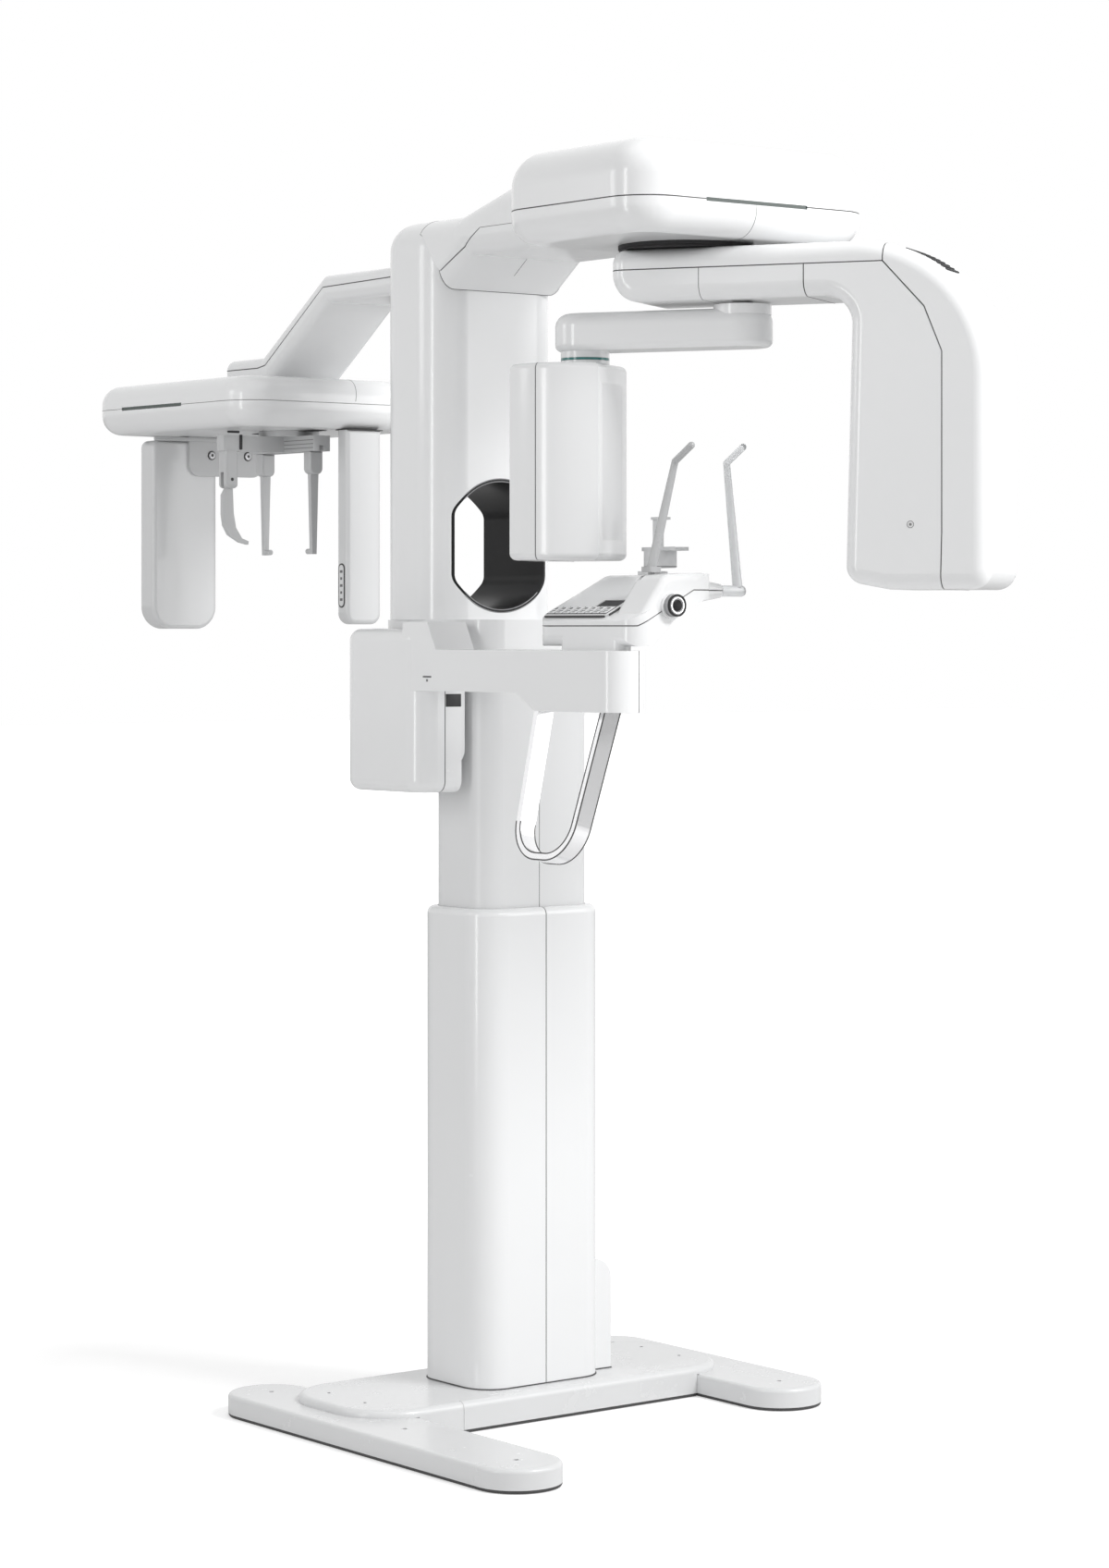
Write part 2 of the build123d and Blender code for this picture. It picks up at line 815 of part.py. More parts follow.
with BuildPart() as gantry_form:
    with BuildSketch(gantry_plane) as outline:
        with BuildLine():
            Polyline(*gantry_outline, close=True)
        make_face()
        corners = outline.vertices()
        fillet(corners.filter_by(lambda v: near(v, gantry_rear, gantry_under)), gantry_end_corner)
        fillet(outline.vertices().filter_by(lambda v: near(v, gantry_rear, gantry_top)),
               gantry_end_corner / 2)
        fillet(outline.vertices().filter_by(lambda v: near(v, head_outer, gantry_top)), shoulder_radius)
        fillet(outline.vertices().filter_by(lambda v: near(v, head_outer, head_bottom)), head_bottom_round)
        fillet(outline.vertices().filter_by(lambda v: near(v, head_inner_high, gantry_under)),
               head_inner_bend)
        fillet(outline.vertices().filter_by(lambda v: near(v, head_inner_low, head_bottom + 13)),
               head_bottom_round)
    extrude(amount=gantry_half_width, both=True)
    rims = gantry_form.faces().filter_by(lambda f: abs(abs(f.center().sub(gantry_axis).dot(gantry_side))
                                                       - gantry_half_width) < 0.1)
    fillet(rims.edges(), gantry_round)


def gantry_region(points, half_width=2 * gantry_half_width):
    """Prism through an outline in the gantry's plane."""
    return region_prism(points, gantry_plane, half_width)


def upright_pin(radius, low, high, out):
    """Round pin that stands on the gantry's line at a distance out from its axis."""
    with BuildPart() as pin:
        with BuildSketch(level_plane(low, out)):
            Circle(radius)
        extrude(amount=high - low)
    return pin.part


half_gap = seam_gap / 2
top_cover_end = head_outer - shoulder_radius + 45
side_seam_out = 446.0
side_seam_low = 1447.0
pivot_hole = upright_pin(pivot_pin_radius + shaft_clearance, gantry_under - 1,
                         pivot_cap_top + pivot_pin_length + 1, arm_pivot_t)
tube_pocket = upright_pin(xray_unit_radius, xray_unit_low, xray_unit_low + xray_unit_length, xray_unit_t)

top_cover_region = gantry_region((
    (gantry_rear - 9, gantry_seam + half_gap), (top_cover_end - half_gap, gantry_seam + half_gap),
    (top_cover_end - half_gap, far), (gantry_rear - 9, far)))
under_cover_region = gantry_region((
    (gantry_rear - 9, 0), (beam_cover_end - half_gap, 0),
    (beam_cover_end - half_gap, gantry_seam - half_gap), (gantry_rear - 9, gantry_seam - half_gap)))


def tube_seam(shift):
    """Line of the tube head's side seam, moved out by a shift."""
    return (
        (top_cover_end + shift, gantry_seam + shift),
        (side_seam_out - 28 + shift, gantry_seam - 71 + shift),
        (side_seam_out + shift, gantry_seam - 140), (side_seam_out + shift, side_seam_low),
        (side_seam_out - 36 + shift, 0))


inner_cover_region = gantry_region((
    (beam_cover_end + half_gap, 0), (beam_cover_end + half_gap, gantry_seam - half_gap),
    *tube_seam(-half_gap)))
outer_cover_region = gantry_region((
    (top_cover_end + half_gap, far), *tube_seam(half_gap), (far, 0), (far, far)))

with BuildPart() as gantry_shaft:
    with BuildSketch(Plane.XY.offset(gantry_top)):
        with Locations((0, gantry_y)):
            Circle(ring_radius - telescope_gap)
    extrude(amount=ring_bottom - gantry_top - running_gap)
    with BuildSketch(Plane.XY.offset(gantry_top)):
        with Locations((0, gantry_y)):
            Circle(shaft_radius)
    extrude(amount=shaft_top - gantry_top)
gantry_shaft.part.label = "gantry_shaft"
export_step(gantry_shaft.part, "parts/gantry_shaft.step")

with BuildPart() as gantry_top_cover:
    add(gantry_form.part)
    add(top_cover_region, mode=Mode.INTERSECT)
gantry_top_cover.part.label = "gantry_top_cover"
export_step(gantry_top_cover.part, "parts/gantry_top_cover.step")

with BuildPart() as gantry_under_cover:
    add(gantry_form.part)
    add(under_cover_region, mode=Mode.INTERSECT)
    add(pivot_hole, mode=Mode.SUBTRACT)
gantry_under_cover.part.label = "gantry_under_cover"
export_step(gantry_under_cover.part, "parts/gantry_under_cover.step")

with BuildPart() as tube_head_inner_cover:
    add(gantry_form.part)
    add(inner_cover_region, mode=Mode.INTERSECT)
    add(tube_pocket, mode=Mode.SUBTRACT)
tube_head_inner_cover.part.label = "tube_head_inner_cover"
export_step(tube_head_inner_cover.part, "parts/tube_head_inner_cover.step")

with BuildPart() as xray_source:
    add(tube_pocket)
xray_source.part.label = "xray_source"
export_step(xray_source.part, "parts/xray_source.step")

# Vent grille on the tube head's shoulder: slots cut through a plate that follows the curve

shoulder_out = head_outer - shoulder_radius
shoulder_height = gantry_top - shoulder_radius


def shoulder_band(inset, depth, low_angle, high_angle):
    """Curved band on the shoulder, as a region in the gantry's plane between two angles."""
    outer = shoulder_radius - inset
    inner = outer - depth
    ends = [math.radians(low_angle), math.radians((low_angle + high_angle) / 2), math.radians(high_angle)]
    rim = [(shoulder_out + outer * math.cos(a), shoulder_height + outer * math.sin(a)) for a in ends]
    bed = [(shoulder_out + inner * math.cos(a), shoulder_height + inner * math.sin(a)) for a in ends]
    with BuildPart() as band:
        with BuildSketch(gantry_plane):
            with BuildLine():
                ThreePointArc(*rim)
                Line(rim[2], bed[2])
                ThreePointArc(*bed)
                Line(bed[0], rim[0])
            make_face()
        extrude(amount=grille_half_width, both=True)
    return band.part


grille_pocket = shoulder_band(-grille_depth, 2 * grille_depth, grille_low_angle, grille_high_angle)
grille_band = shoulder_band(
    grille_set_back, grille_depth - grille_set_back, grille_low_angle, grille_high_angle)
with BuildPart() as tube_head_outer_cover:
    add(gantry_form.part)
    add(outer_cover_region, mode=Mode.INTERSECT)
    add(grille_pocket, mode=Mode.SUBTRACT)
tube_head_outer_cover.part.label = "tube_head_outer_cover"
export_step(tube_head_outer_cover.part, "parts/tube_head_outer_cover.step")

grille_pitch = (grille_high_angle - grille_low_angle) / (grille_slots + 1)
slot_angle = math.degrees(grille_slot_width / shoulder_radius)
with BuildPart() as vent_grille:
    add(grille_band)
    for index in range(grille_slots):
        slot_middle = grille_low_angle + (index + 1) * grille_pitch
        add(shoulder_band(0, grille_depth / 2, slot_middle - slot_angle / 2, slot_middle + slot_angle / 2)
            .intersect(gantry_region(((0, 0), (far, 0), (far, far), (0, far)), grille_half_width - 4)),
            mode=Mode.SUBTRACT)
vent_grille.part.label = "vent_grille"
export_step(vent_grille.part, "parts/vent_grille.step")

# Sensor arm with its pivot, neck ring and the sensor head

with BuildPart() as sensor_arm:
    with BuildSketch(level_plane(sensor_arm_low, (arm_pivot_t + head_pivot_t) / 2)):
        SlotCenterToCenter(arm_pivot_t - head_pivot_t, 2 * sensor_arm_radius)
    extrude(amount=sensor_arm_high - sensor_arm_low)
    fillet(sensor_arm.faces().sort_by(Axis.Z)[-1].edges(), sensor_arm_round)
    fillet(sensor_arm.faces().sort_by(Axis.Z)[0].edges(), sensor_arm_round / 2)
    with BuildSketch(level_plane(sensor_arm_high - 10, arm_pivot_t)):
        Circle(sensor_arm_radius - 2)
    extrude(amount=pivot_cap_top - sensor_arm_high + 10)
    with BuildSketch(level_plane(pivot_cap_top, arm_pivot_t)):
        Circle(pivot_pin_radius)
    extrude(amount=pivot_pin_length)
    with BuildSketch(level_plane(sensor_arm_low + 10, head_pivot_t)):
        Circle(neck_radius - 8)
    extrude(amount=-(10 + sensor_arm_low - sensor_top - 2 * neck_ring_height - 2))
    with BuildSketch(level_plane(sensor_top, head_pivot_t)):
        Circle(neck_pin_radius + shaft_clearance)
    extrude(amount=sensor_arm_low - sensor_top + neck_pin_length, mode=Mode.SUBTRACT)
sensor_arm.part.label = "sensor_arm"
export_step(sensor_arm.part, "parts/sensor_arm.step")

neck_low = sensor_top + neck_ring_height + 2
with BuildPart() as neck_ring:
    with BuildSketch(level_plane(neck_low, head_pivot_t)):
        Circle(neck_radius - 8)
        Circle(neck_pin_radius + shaft_clearance, mode=Mode.SUBTRACT)
    extrude(amount=neck_ring_height)
neck_ring.part.label = "neck_ring"
export_step(neck_ring.part, "parts/neck_ring.step")

with BuildPart() as sensor_form:
    with BuildSketch(level_plane(sensor_bottom)) as outline:
        with BuildLine():
            Polyline((sensor_front_t, -sensor_front_half), (sensor_back_t + 20, -sensor_front_half),
                     (sensor_back_t, -sensor_back_half), (sensor_back_t, sensor_back_half),
                     (sensor_back_t + 20, sensor_front_half), (sensor_front_t, sensor_front_half),
                     close=True)
        make_face()
        with BuildLine():
            Line((sensor_front_t, -sensor_front_half), (sensor_front_t, sensor_front_half))
            ThreePointArc((sensor_front_t, sensor_front_half), (sensor_seam_t + 20, sensor_half_width),
                          (sensor_back_t + 6, sensor_front_half - 2))
            Line((sensor_back_t + 6, sensor_front_half - 2), (sensor_back_t + 6, 2 - sensor_front_half))
            ThreePointArc((sensor_back_t + 6, 2 - sensor_front_half),
                          (sensor_seam_t + 20, -sensor_half_width),
                          (sensor_front_t, -sensor_front_half))
        make_face()
    extrude(amount=sensor_top - sensor_bottom)
    fillet(sensor_form.faces().sort_by(Axis.Z)[-1].edges(), sensor_round / 2)
    fillet(sensor_form.faces().sort_by(Axis.Z)[0].edges(), sensor_round / 2)

sensor_rear_region = gantry_region((
    (sensor_back_t - 9, 0), (sensor_seam_t - half_gap, 0), (sensor_seam_t - half_gap, far),
    (sensor_back_t - 9, far)))
sensor_front_region = gantry_region((
    (sensor_seam_t + half_gap, 0), (0, 0), (0, far), (sensor_seam_t + half_gap, far)))
panel_inset = 16.0
panel_thickness = 6.0
with BuildPart() as flat_panel:
    with BuildSketch(cross_plane(sensor_front_t - panel_thickness)):
        with Locations((0, (sensor_top + sensor_bottom) / 2)):
            RectangleRounded(
                2 * sensor_front_half - 2 * panel_inset, sensor_top - sensor_bottom - 4 * panel_inset, 8)
    extrude(amount=panel_thickness)
flat_panel.part.label = "flat_panel"
export_step(flat_panel.part, "parts/flat_panel.step")

with BuildPart() as sensor_rear_cover:
    add(sensor_form.part)
    add(sensor_rear_region, mode=Mode.INTERSECT)
sensor_rear_cover.part.label = "sensor_rear_cover"
export_step(sensor_rear_cover.part, "parts/sensor_rear_cover.step")

with BuildPart() as sensor_front_cover:
    add(sensor_form.part)
    add(sensor_front_region, mode=Mode.INTERSECT)
    add(flat_panel.part, mode=Mode.SUBTRACT)
    with BuildSketch(level_plane(sensor_top - 12, head_pivot_t)):
        Circle(neck_radius - 8)
    extrude(amount=12 + neck_low - running_gap - sensor_top)
    with BuildSketch(level_plane(sensor_top, head_pivot_t)):
        Circle(neck_pin_radius)
    extrude(amount=sensor_arm_low - sensor_top + neck_pin_length - 1)
sensor_front_cover.part.label = "sensor_front_cover"
export_step(sensor_front_cover.part, "parts/sensor_front_cover.step")

# Skull-imaging arm: a cranked bar parted along its side, and the wide head that it carries

skull_upper_line = (
    (upper_back, skull_arm_top), (skull_arm_knee, skull_arm_top), (skull_slope_end, skull_foot_top),
    (skull_foot_end, skull_foot_top))
skull_under_line = (
    (skull_foot_end, skull_head_top), (skull_under_end, skull_head_top),
    (skull_under_knee, skull_arm_under),
    (upper_back, skull_arm_under))
with BuildPart() as skull_arm_form:
    with BuildSketch(side_plane(-skull_arm_half_width)) as outline:
        with BuildLine():
            Polyline(*skull_upper_line, *skull_under_line, close=True)
        make_face()
        foot_tips = outline.vertices().filter_by(lambda v: v.X > skull_foot_end - 1)
        fillet(foot_tips.sort_by(Axis.Y)[-1:], skull_arm_round)
    extrude(amount=2 * skull_arm_half_width)
    sides = skull_arm_form.faces().filter_by(Axis.X)
    long_edges = sides.edges().filter_by(lambda e: abs(e.center().Y - upper_back) > 1
                                         and e.center().Z > skull_head_top + 1
                                         and e.center().Y < skull_foot_end - 1)
    fillet(long_edges, skull_arm_round)

skull_seam_line = (
    (upper_back, skull_arm_seam), (skull_arm_knee - 4, skull_arm_seam - 4),
    (skull_slope_end - 18, skull_foot_seam + 4), (skull_slope_end + 6, skull_foot_seam))


def skull_region(shift, limit):
    """Prism above or below the skull arm's side seam."""
    line = [(y, z + shift) for y, z in skull_seam_line]
    ends = ((far, skull_foot_seam + shift), (far, limit), (upper_back, limit))
    return region_prism((*line, *ends), Plane.YZ, skull_head_half_width)


with BuildPart() as skull_arm_upper_cover:
    add(skull_arm_form.part)
    add(skull_region(half_gap, far), mode=Mode.INTERSECT)
skull_arm_upper_cover.part.label = "skull_arm_upper_cover"
export_step(skull_arm_upper_cover.part, "parts/skull_arm_upper_cover.step")

with BuildPart() as skull_arm_lower_cover:
    add(skull_arm_form.part)
    add(skull_region(-half_gap, 0), mode=Mode.INTERSECT)
skull_arm_lower_cover.part.label = "skull_arm_lower_cover"
export_step(skull_arm_lower_cover.part, "parts/skull_arm_lower_cover.step")

skull_head_middle = (skull_head_front + skull_head_back) / 2
skull_head_flat = skull_head_round + 2
detector_track_y = skull_head_back - skull_head_flat
collimator_track_y = skull_head_front + skull_head_flat
track_half_width = 4.0
track_depth = 14.0
track_clearance = 0.3
track_end_gap = 4.0
scan_back = 0.09
scan_forward = 0.10
scan_ratio = 0.757
skull_strip_form = block_between(
    -skull_head_half_width - slot_depth, -skull_head_half_width + slot_depth,
    skull_slot_front, skull_slot_back,
    skull_head_seam - slot_height / 2, skull_head_seam + slot_height / 2)

with BuildPart() as skull_head_form:
    with BuildSketch(Plane.XY.offset(skull_head_bottom)):
        with Locations((0, skull_head_middle)):
            RectangleRounded(
                2 * skull_head_half_width, skull_head_back - skull_head_front, skull_head_corner)
    extrude(amount=skull_head_top - skull_head_bottom)
    fillet(skull_head_form.faces().sort_by(Axis.Z)[-1].edges(), skull_head_round)
    fillet(skull_head_form.faces().sort_by(Axis.Z)[0].edges(), skull_head_round)


def track_slot(middle, half_length, y, travel_back, travel_forward):
    """Slot under the skull head for a runner with its travel."""
    return block_between(
        middle - half_length - travel_back - track_end_gap,
        middle + half_length + travel_forward + track_end_gap,
        y - track_half_width - track_clearance, y + track_half_width + track_clearance,
        skull_head_bottom - 1, skull_head_bottom + track_depth + track_clearance)


detector_runner_x = 20.0
detector_runner_half = 60.0
collimator_middle = (collimator_left + collimator_right) / 2
collimator_runner_half = 26.0
detector_track = track_slot(
    detector_runner_x, detector_runner_half, detector_track_y, 1000 * scan_back, 1000 * scan_forward)
collimator_track = track_slot(
    collimator_middle, collimator_runner_half, collimator_track_y,
    1000 * scan_back * scan_ratio, 1000 * scan_forward * scan_ratio)
with BuildPart() as skull_head_upper_cover:
    add(skull_head_form.part)
    add(block_between(-far, far, 0, far, skull_head_seam + half_gap, far), mode=Mode.INTERSECT)
    add(skull_strip_form, mode=Mode.SUBTRACT)
skull_head_upper_cover.part.label = "skull_head_upper_cover"
export_step(skull_head_upper_cover.part, "parts/skull_head_upper_cover.step")

with BuildPart() as skull_head_lower_cover:
    add(skull_head_form.part)
    add(block_between(-far, far, 0, far, 0, skull_head_seam - half_gap), mode=Mode.INTERSECT)
    add(skull_strip_form, mode=Mode.SUBTRACT)
    add(detector_track, mode=Mode.SUBTRACT)
    add(collimator_track, mode=Mode.SUBTRACT)
    with BuildSketch(Plane.XY.offset(skull_head_bottom - 1)):
        with Locations((0, ear_axis_y)):
            Circle(turntable_pin_radius + shaft_clearance)
    extrude(amount=turntable_pin_length + 2, mode=Mode.SUBTRACT)
skull_head_lower_cover.part.label = "skull_head_lower_cover"
export_step(skull_head_lower_cover.part, "parts/skull_head_lower_cover.step")

with BuildPart() as indicator_strips:
    add(strip_form)
    add(block_between(
        -skull_head_half_width + slot_set_back, -skull_head_half_width + slot_depth,
        skull_slot_front, skull_slot_back,
        skull_head_seam - slot_height / 2, skull_head_seam + slot_height / 2))
indicator_strips.part.label = "indicator_strips"
export_step(indicator_strips.part, "parts/indicator_strips.step")

# Detector and collimator that scan along the skull head

hang_top = skull_head_bottom - running_gap
detector_top = hang_top - hanger_height
with BuildPart() as detector_bracket:
    with BuildSketch(front_plane(detector_front - bracket_thickness)) as outline:
        with Locations(((bracket_left + bracket_right) / 2, (bracket_low + hang_top) / 2)):
            Rectangle(bracket_right - bracket_left, hang_top - bracket_low)
        fillet(outline.vertices().sort_by(Axis.Y)[:2], bracket_round)
    extrude(amount=-bracket_thickness)
    add(block_between(
        detector_runner_x - detector_runner_half, detector_runner_x + detector_runner_half,
        detector_front - bracket_thickness, detector_track_y + track_half_width,
        detector_top, hang_top))
    add(block_between(
        detector_runner_x - detector_runner_half, detector_runner_x + detector_runner_half,
        detector_track_y - track_half_width, detector_track_y + track_half_width,
        hang_top, skull_head_bottom + track_depth))
detector_bracket.part.label = "detector_bracket"
export_step(detector_bracket.part, "parts/detector_bracket.step")

with BuildPart() as skull_detector:
    with BuildSketch(front_plane(detector_front)) as outline:
        with Locations(((detector_left + detector_right) / 2, (detector_low + detector_top) / 2)):
            Rectangle(detector_right - detector_left, detector_top - detector_low)
        fillet(outline.vertices().sort_by(Axis.Y)[:2], detector_corner)
        fillet(outline.vertices().sort_by(Axis.Y)[-2:], detector_round)
    extrude(amount=-(detector_back - detector_front))
    fillet(skull_detector.faces().sort_by(Axis.Y)[0].edges(), detector_round / 2)
    fillet(skull_detector.faces().sort_by(Axis.Y)[-1].edges(), detector_round)
skull_detector.part.label = "skull_detector"
export_step(skull_detector.part, "parts/skull_detector.step")

with BuildPart() as skull_collimator:
    with BuildSketch(front_plane(collimator_front)) as outline:
        with Locations((collimator_middle, (collimator_low + hang_top) / 2)):
            Rectangle(collimator_right - collimator_left, hang_top - collimator_low)
        fillet(outline.vertices().sort_by(Axis.Y)[:2], collimator_corner)
    extrude(amount=-(collimator_back - collimator_front))
    fillet(skull_collimator.faces().sort_by(Axis.Y)[0].edges(), collimator_round)
    fillet(skull_collimator.faces().sort_by(Axis.Y)[-1].edges(), collimator_round)
    add(block_between(
        collimator_middle - collimator_runner_half, collimator_middle + collimator_runner_half,
        collimator_track_y - track_half_width, collimator_track_y + track_half_width,
        hang_top - collimator_round, skull_head_bottom + track_depth))
skull_collimator.part.label = "skull_collimator"
export_step(skull_collimator.part, "parts/skull_collimator.step")

# Turntable with the ear rods and the nasal support

rail_high = turntable_low
nasion_half = nasion_block_size / 2
with BuildPart() as nasion_block:
    add(block_between(nasion_x - nasion_half, nasion_x + nasion_half, ear_axis_y - nasion_half,
                      ear_axis_y + nasion_half, nasion_block_low, rail_low))
    fillet(nasion_block.edges().filter_by(Axis.Z), 4)
    fillet(nasion_block.edges().filter_by(Axis.Y).sort_by(Axis.Z)[:2], 7)
    add(block_between(nasion_x - nasion_block_size, nasion_x + nasion_block_size,
                      ear_axis_y - nasion_fork / 2, ear_axis_y + nasion_fork / 2,
                      nasion_block_low - 1, nasion_pivot_z + nasion_half), mode=Mode.SUBTRACT)
    with BuildSketch(front_plane(ear_axis_y - nasion_half)):
        with Locations((nasion_x, nasion_pivot_z)):
            Circle(nasion_pin_radius)
    extrude(amount=-nasion_block_size)

with BuildPart() as ear_turntable:
    with BuildSketch(Plane.XY.offset(turntable_low)):
        with Locations((0, ear_axis_y)):
            Circle(turntable_radius)
    extrude(amount=hang_top - turntable_low)
    with BuildSketch(Plane.XY.offset(hang_top)):
        with Locations((0, ear_axis_y)):
            Circle(turntable_pin_radius)
    extrude(amount=turntable_pin_length)
    add(block_between(-rail_half_width, rail_half_width, ear_axis_y - rail_half_length,
                      ear_axis_y + rail_half_length, rail_low, rail_high))
    add(block_between(cross_bar_end, -rail_half_width, ear_axis_y - cross_bar_half_width,
                      ear_axis_y + cross_bar_half_width, rail_low, rail_high))
    add(block_between(-rail_groove, rail_groove,
                      ear_axis_y - rail_half_length, ear_axis_y + rail_half_length,
                      rail_low - 1, rail_low + 2 * rail_groove), mode=Mode.SUBTRACT)
    add(nasion_block.part)
ear_turntable.part.label = "ear_turntable"
export_step(ear_turntable.part, "parts/ear_turntable.step")

blade_half = 7.0
nasion_outline = (
    (-blade_half, 0), (-blade_half, 16), (-2 * blade_half, 28), (-2 * blade_half, 62), (-11, 82),
    (-1, nasion_drop), (22, nasion_drop + 13), (nasion_reach, nasion_drop + 17),
    (nasion_reach + 1, nasion_drop + 11), (27, nasion_drop + 6), (14, nasion_drop - 13), (9, 60),
    (blade_half, 16), (blade_half, 0))
with BuildPart() as nasion_support:
    with BuildSketch(front_plane(ear_axis_y - nasion_blade / 2)):
        with BuildLine():
            Polyline(
                *[(nasion_x + across, nasion_pivot_z - down) for across, down in nasion_outline],
                close=True)
        make_face()
        with Locations((nasion_x, nasion_pivot_z)):
            Circle(blade_half)
            Circle(nasion_pin_radius + shaft_clearance, mode=Mode.SUBTRACT)
    extrude(amount=-nasion_blade)
nasion_support.part.label = "nasion_support"
export_step(nasion_support.part, "parts/nasion_support.step")


def make_ear_rod(y, inward):
    """Ear rod: a block that slides in the turntable's groove, and a tapered rod with an inward tip."""
    with BuildPart() as rod:
        with BuildSketch(front_plane(y - ear_block_length / 2)) as outline:
            with Locations((0, (ear_block_low + rail_low - running_gap) / 2)):
                Rectangle(ear_block_width, rail_low - running_gap - ear_block_low)
            fillet(outline.vertices().sort_by(Axis.Y)[:2], 11)
        extrude(amount=-ear_block_length)
        fillet(rod.faces().sort_by(Axis.Y)[0].edges(), 3)
        fillet(rod.faces().sort_by(Axis.Y)[-1].edges(), 3)
        add(block_between(-rail_groove + shaft_clearance, rail_groove - shaft_clearance,
                          y - ear_block_length / 2 + 3, y + ear_block_length / 2 - 3,
                          rail_low - 4, rail_low + 2 * rail_groove - running_gap))
        with BuildSketch(Plane.XY.offset(ear_block_low + 1)):
            with Locations((0, y)):
                Rectangle(ear_rod_width_top, ear_rod_thickness)
        with BuildSketch(Plane.XY.offset(ear_rod_low)):
            with Locations((0, y)):
                Rectangle(ear_rod_width_low, ear_rod_thickness)
        loft()
        with BuildSketch(front_plane(y)):
            with Locations((0, ear_rod_low + ear_tip_radius)):
                Circle(ear_tip_radius)
        extrude(amount=-inward * (ear_rod_thickness / 2 + ear_tip_length))
    return rod


for name, y, inward in (("front", ear_front_y, 1), ("back", ear_back_y, -1)):
    ear_rod = make_ear_rod(y, inward)
    ear_rod.part.label = "ear_rod_" + name
    export_step(ear_rod.part, "parts/ear_rod_" + name + ".step")

# Support arm with its root block and end cap

arm_right = arm_left + arm_width
with BuildPart() as arm_side:
    with BuildSketch(side_plane(arm_left - 1)):
        with BuildLine():
            Polyline(
                (arm_root, knuckle_top), (knuckle_front, knuckle_top), (knuckle_front - 24, arm_top),
                (arm_end, arm_top), (arm_end, arm_drop), (arm_drop_end, arm_drop),
                (arm_drop_start, arm_under), (arm_root, arm_under), close=True)
        make_face()
    extrude(amount=arm_width + 2)

with BuildPart() as arm_form:
    with BuildSketch(Plane.XY.offset(arm_drop)) as outline:
        with BuildLine():
            Polyline(
                (arm_left, arm_root), (arm_right, arm_root), (arm_right, arm_end), (arm_left, arm_end),
                close=True)
        make_face()
        fillet(outline.vertices().sort_by(Axis.Y)[:2], arm_width / 2 - 3)
    extrude(amount=knuckle_top - arm_drop)
    add(arm_side.part, mode=Mode.INTERSECT)

cap_region = block_between(arm_cap_x + half_gap, far, -far, arm_cap_seam - half_gap, 0, far)
cap_space = block_between(arm_cap_x - half_gap, far, -far, arm_cap_seam + half_gap, 0, far)
with BuildPart() as support_arm:
    add(arm_form.part)
    add(cap_space, mode=Mode.SUBTRACT)
support_arm.part.label = "support_arm"
export_step(support_arm.part, "parts/support_arm.step")

with BuildPart() as arm_end_cap:
    add(arm_form.part)
    add(cap_region, mode=Mode.INTERSECT)
arm_end_cap.part.label = "arm_end_cap"
export_step(arm_end_cap.part, "parts/arm_end_cap.step")

# Control box beside the column

with BuildPart() as box_form:
    with BuildSketch(Plane.XY.offset(box_bottom)) as outline:
        with Locations(((box_left + box_right) / 2, (box_front + box_back) / 2)):
            Rectangle(box_right - box_left, box_back - box_front)
        fillet(outline.vertices().sort_by(Axis.X)[:2], box_front_corner)
    extrude(amount=box_top - box_bottom)
    outer_rim = box_form.edges().filter_by(lambda e: e.center().X < box_right - 1
                                           and abs(e.tangent_at(0).Z) < 0.1)
    fillet(outer_rim, box_round)

socket_left = box_seam + socket_inset
socket_form = block_between(
    socket_left, socket_left + socket_width, box_front - 1, box_front + socket_depth,
    socket_z - socket_height / 2, socket_z + socket_height / 2)
with BuildPart() as box_front_cover:
    add(box_form.part)
    add(block_between(-far, box_seam - half_gap, -far, far, 0, far), mode=Mode.INTERSECT)
    add(arm_form.part, mode=Mode.SUBTRACT)
    add(socket_form, mode=Mode.SUBTRACT)
box_front_cover.part.label = "box_front_cover"
export_step(box_front_cover.part, "parts/box_front_cover.step")

with BuildPart() as box_rear_cover:
    add(box_form.part)
    add(block_between(box_seam + half_gap, far, -far, far, 0, far), mode=Mode.INTERSECT)
    add(arm_form.part, mode=Mode.SUBTRACT)
    add(socket_form, mode=Mode.SUBTRACT)
box_rear_cover.part.label = "box_rear_cover"
export_step(box_rear_cover.part, "parts/box_rear_cover.step")

with BuildPart() as box_back_panel:
    with BuildSketch(side_plane(box_right)):
        with Locations(((panel_front + panel_back) / 2, (panel_bottom + panel_top) / 2)):
            RectangleRounded(panel_back - panel_front, panel_top - panel_bottom, panel_corner)
    extrude(amount=panel_right - box_right)
    add(block_between(
        panel_right, -carriage_width / 2, panel_front + panel_corner, panel_back - panel_corner,
        carriage_bottom + 8, panel_top))
box_back_panel.part.label = "box_back_panel"
export_step(box_back_panel.part, "parts/box_back_panel.step")

with BuildPart() as service_socket:
    with BuildSketch(front_plane(box_front + 1)):
        with Locations((socket_left + socket_width / 2, socket_z)):
            Rectangle(socket_width, socket_height)
            Rectangle(socket_width - 8, socket_height - 8, mode=Mode.SUBTRACT)
    extrude(amount=-(socket_depth - 1))
    with BuildSketch(front_plane(box_front + socket_depth - 2)):
        with Locations((socket_left + socket_width / 2, socket_z)):
            Rectangle(socket_width - 8, socket_height - 8)
    extrude(amount=-2)
service_socket.part.label = "service_socket"
export_step(service_socket.part, "parts/service_socket.step")

# Grab handle: a flat bar bent into a U, leaning away from the column

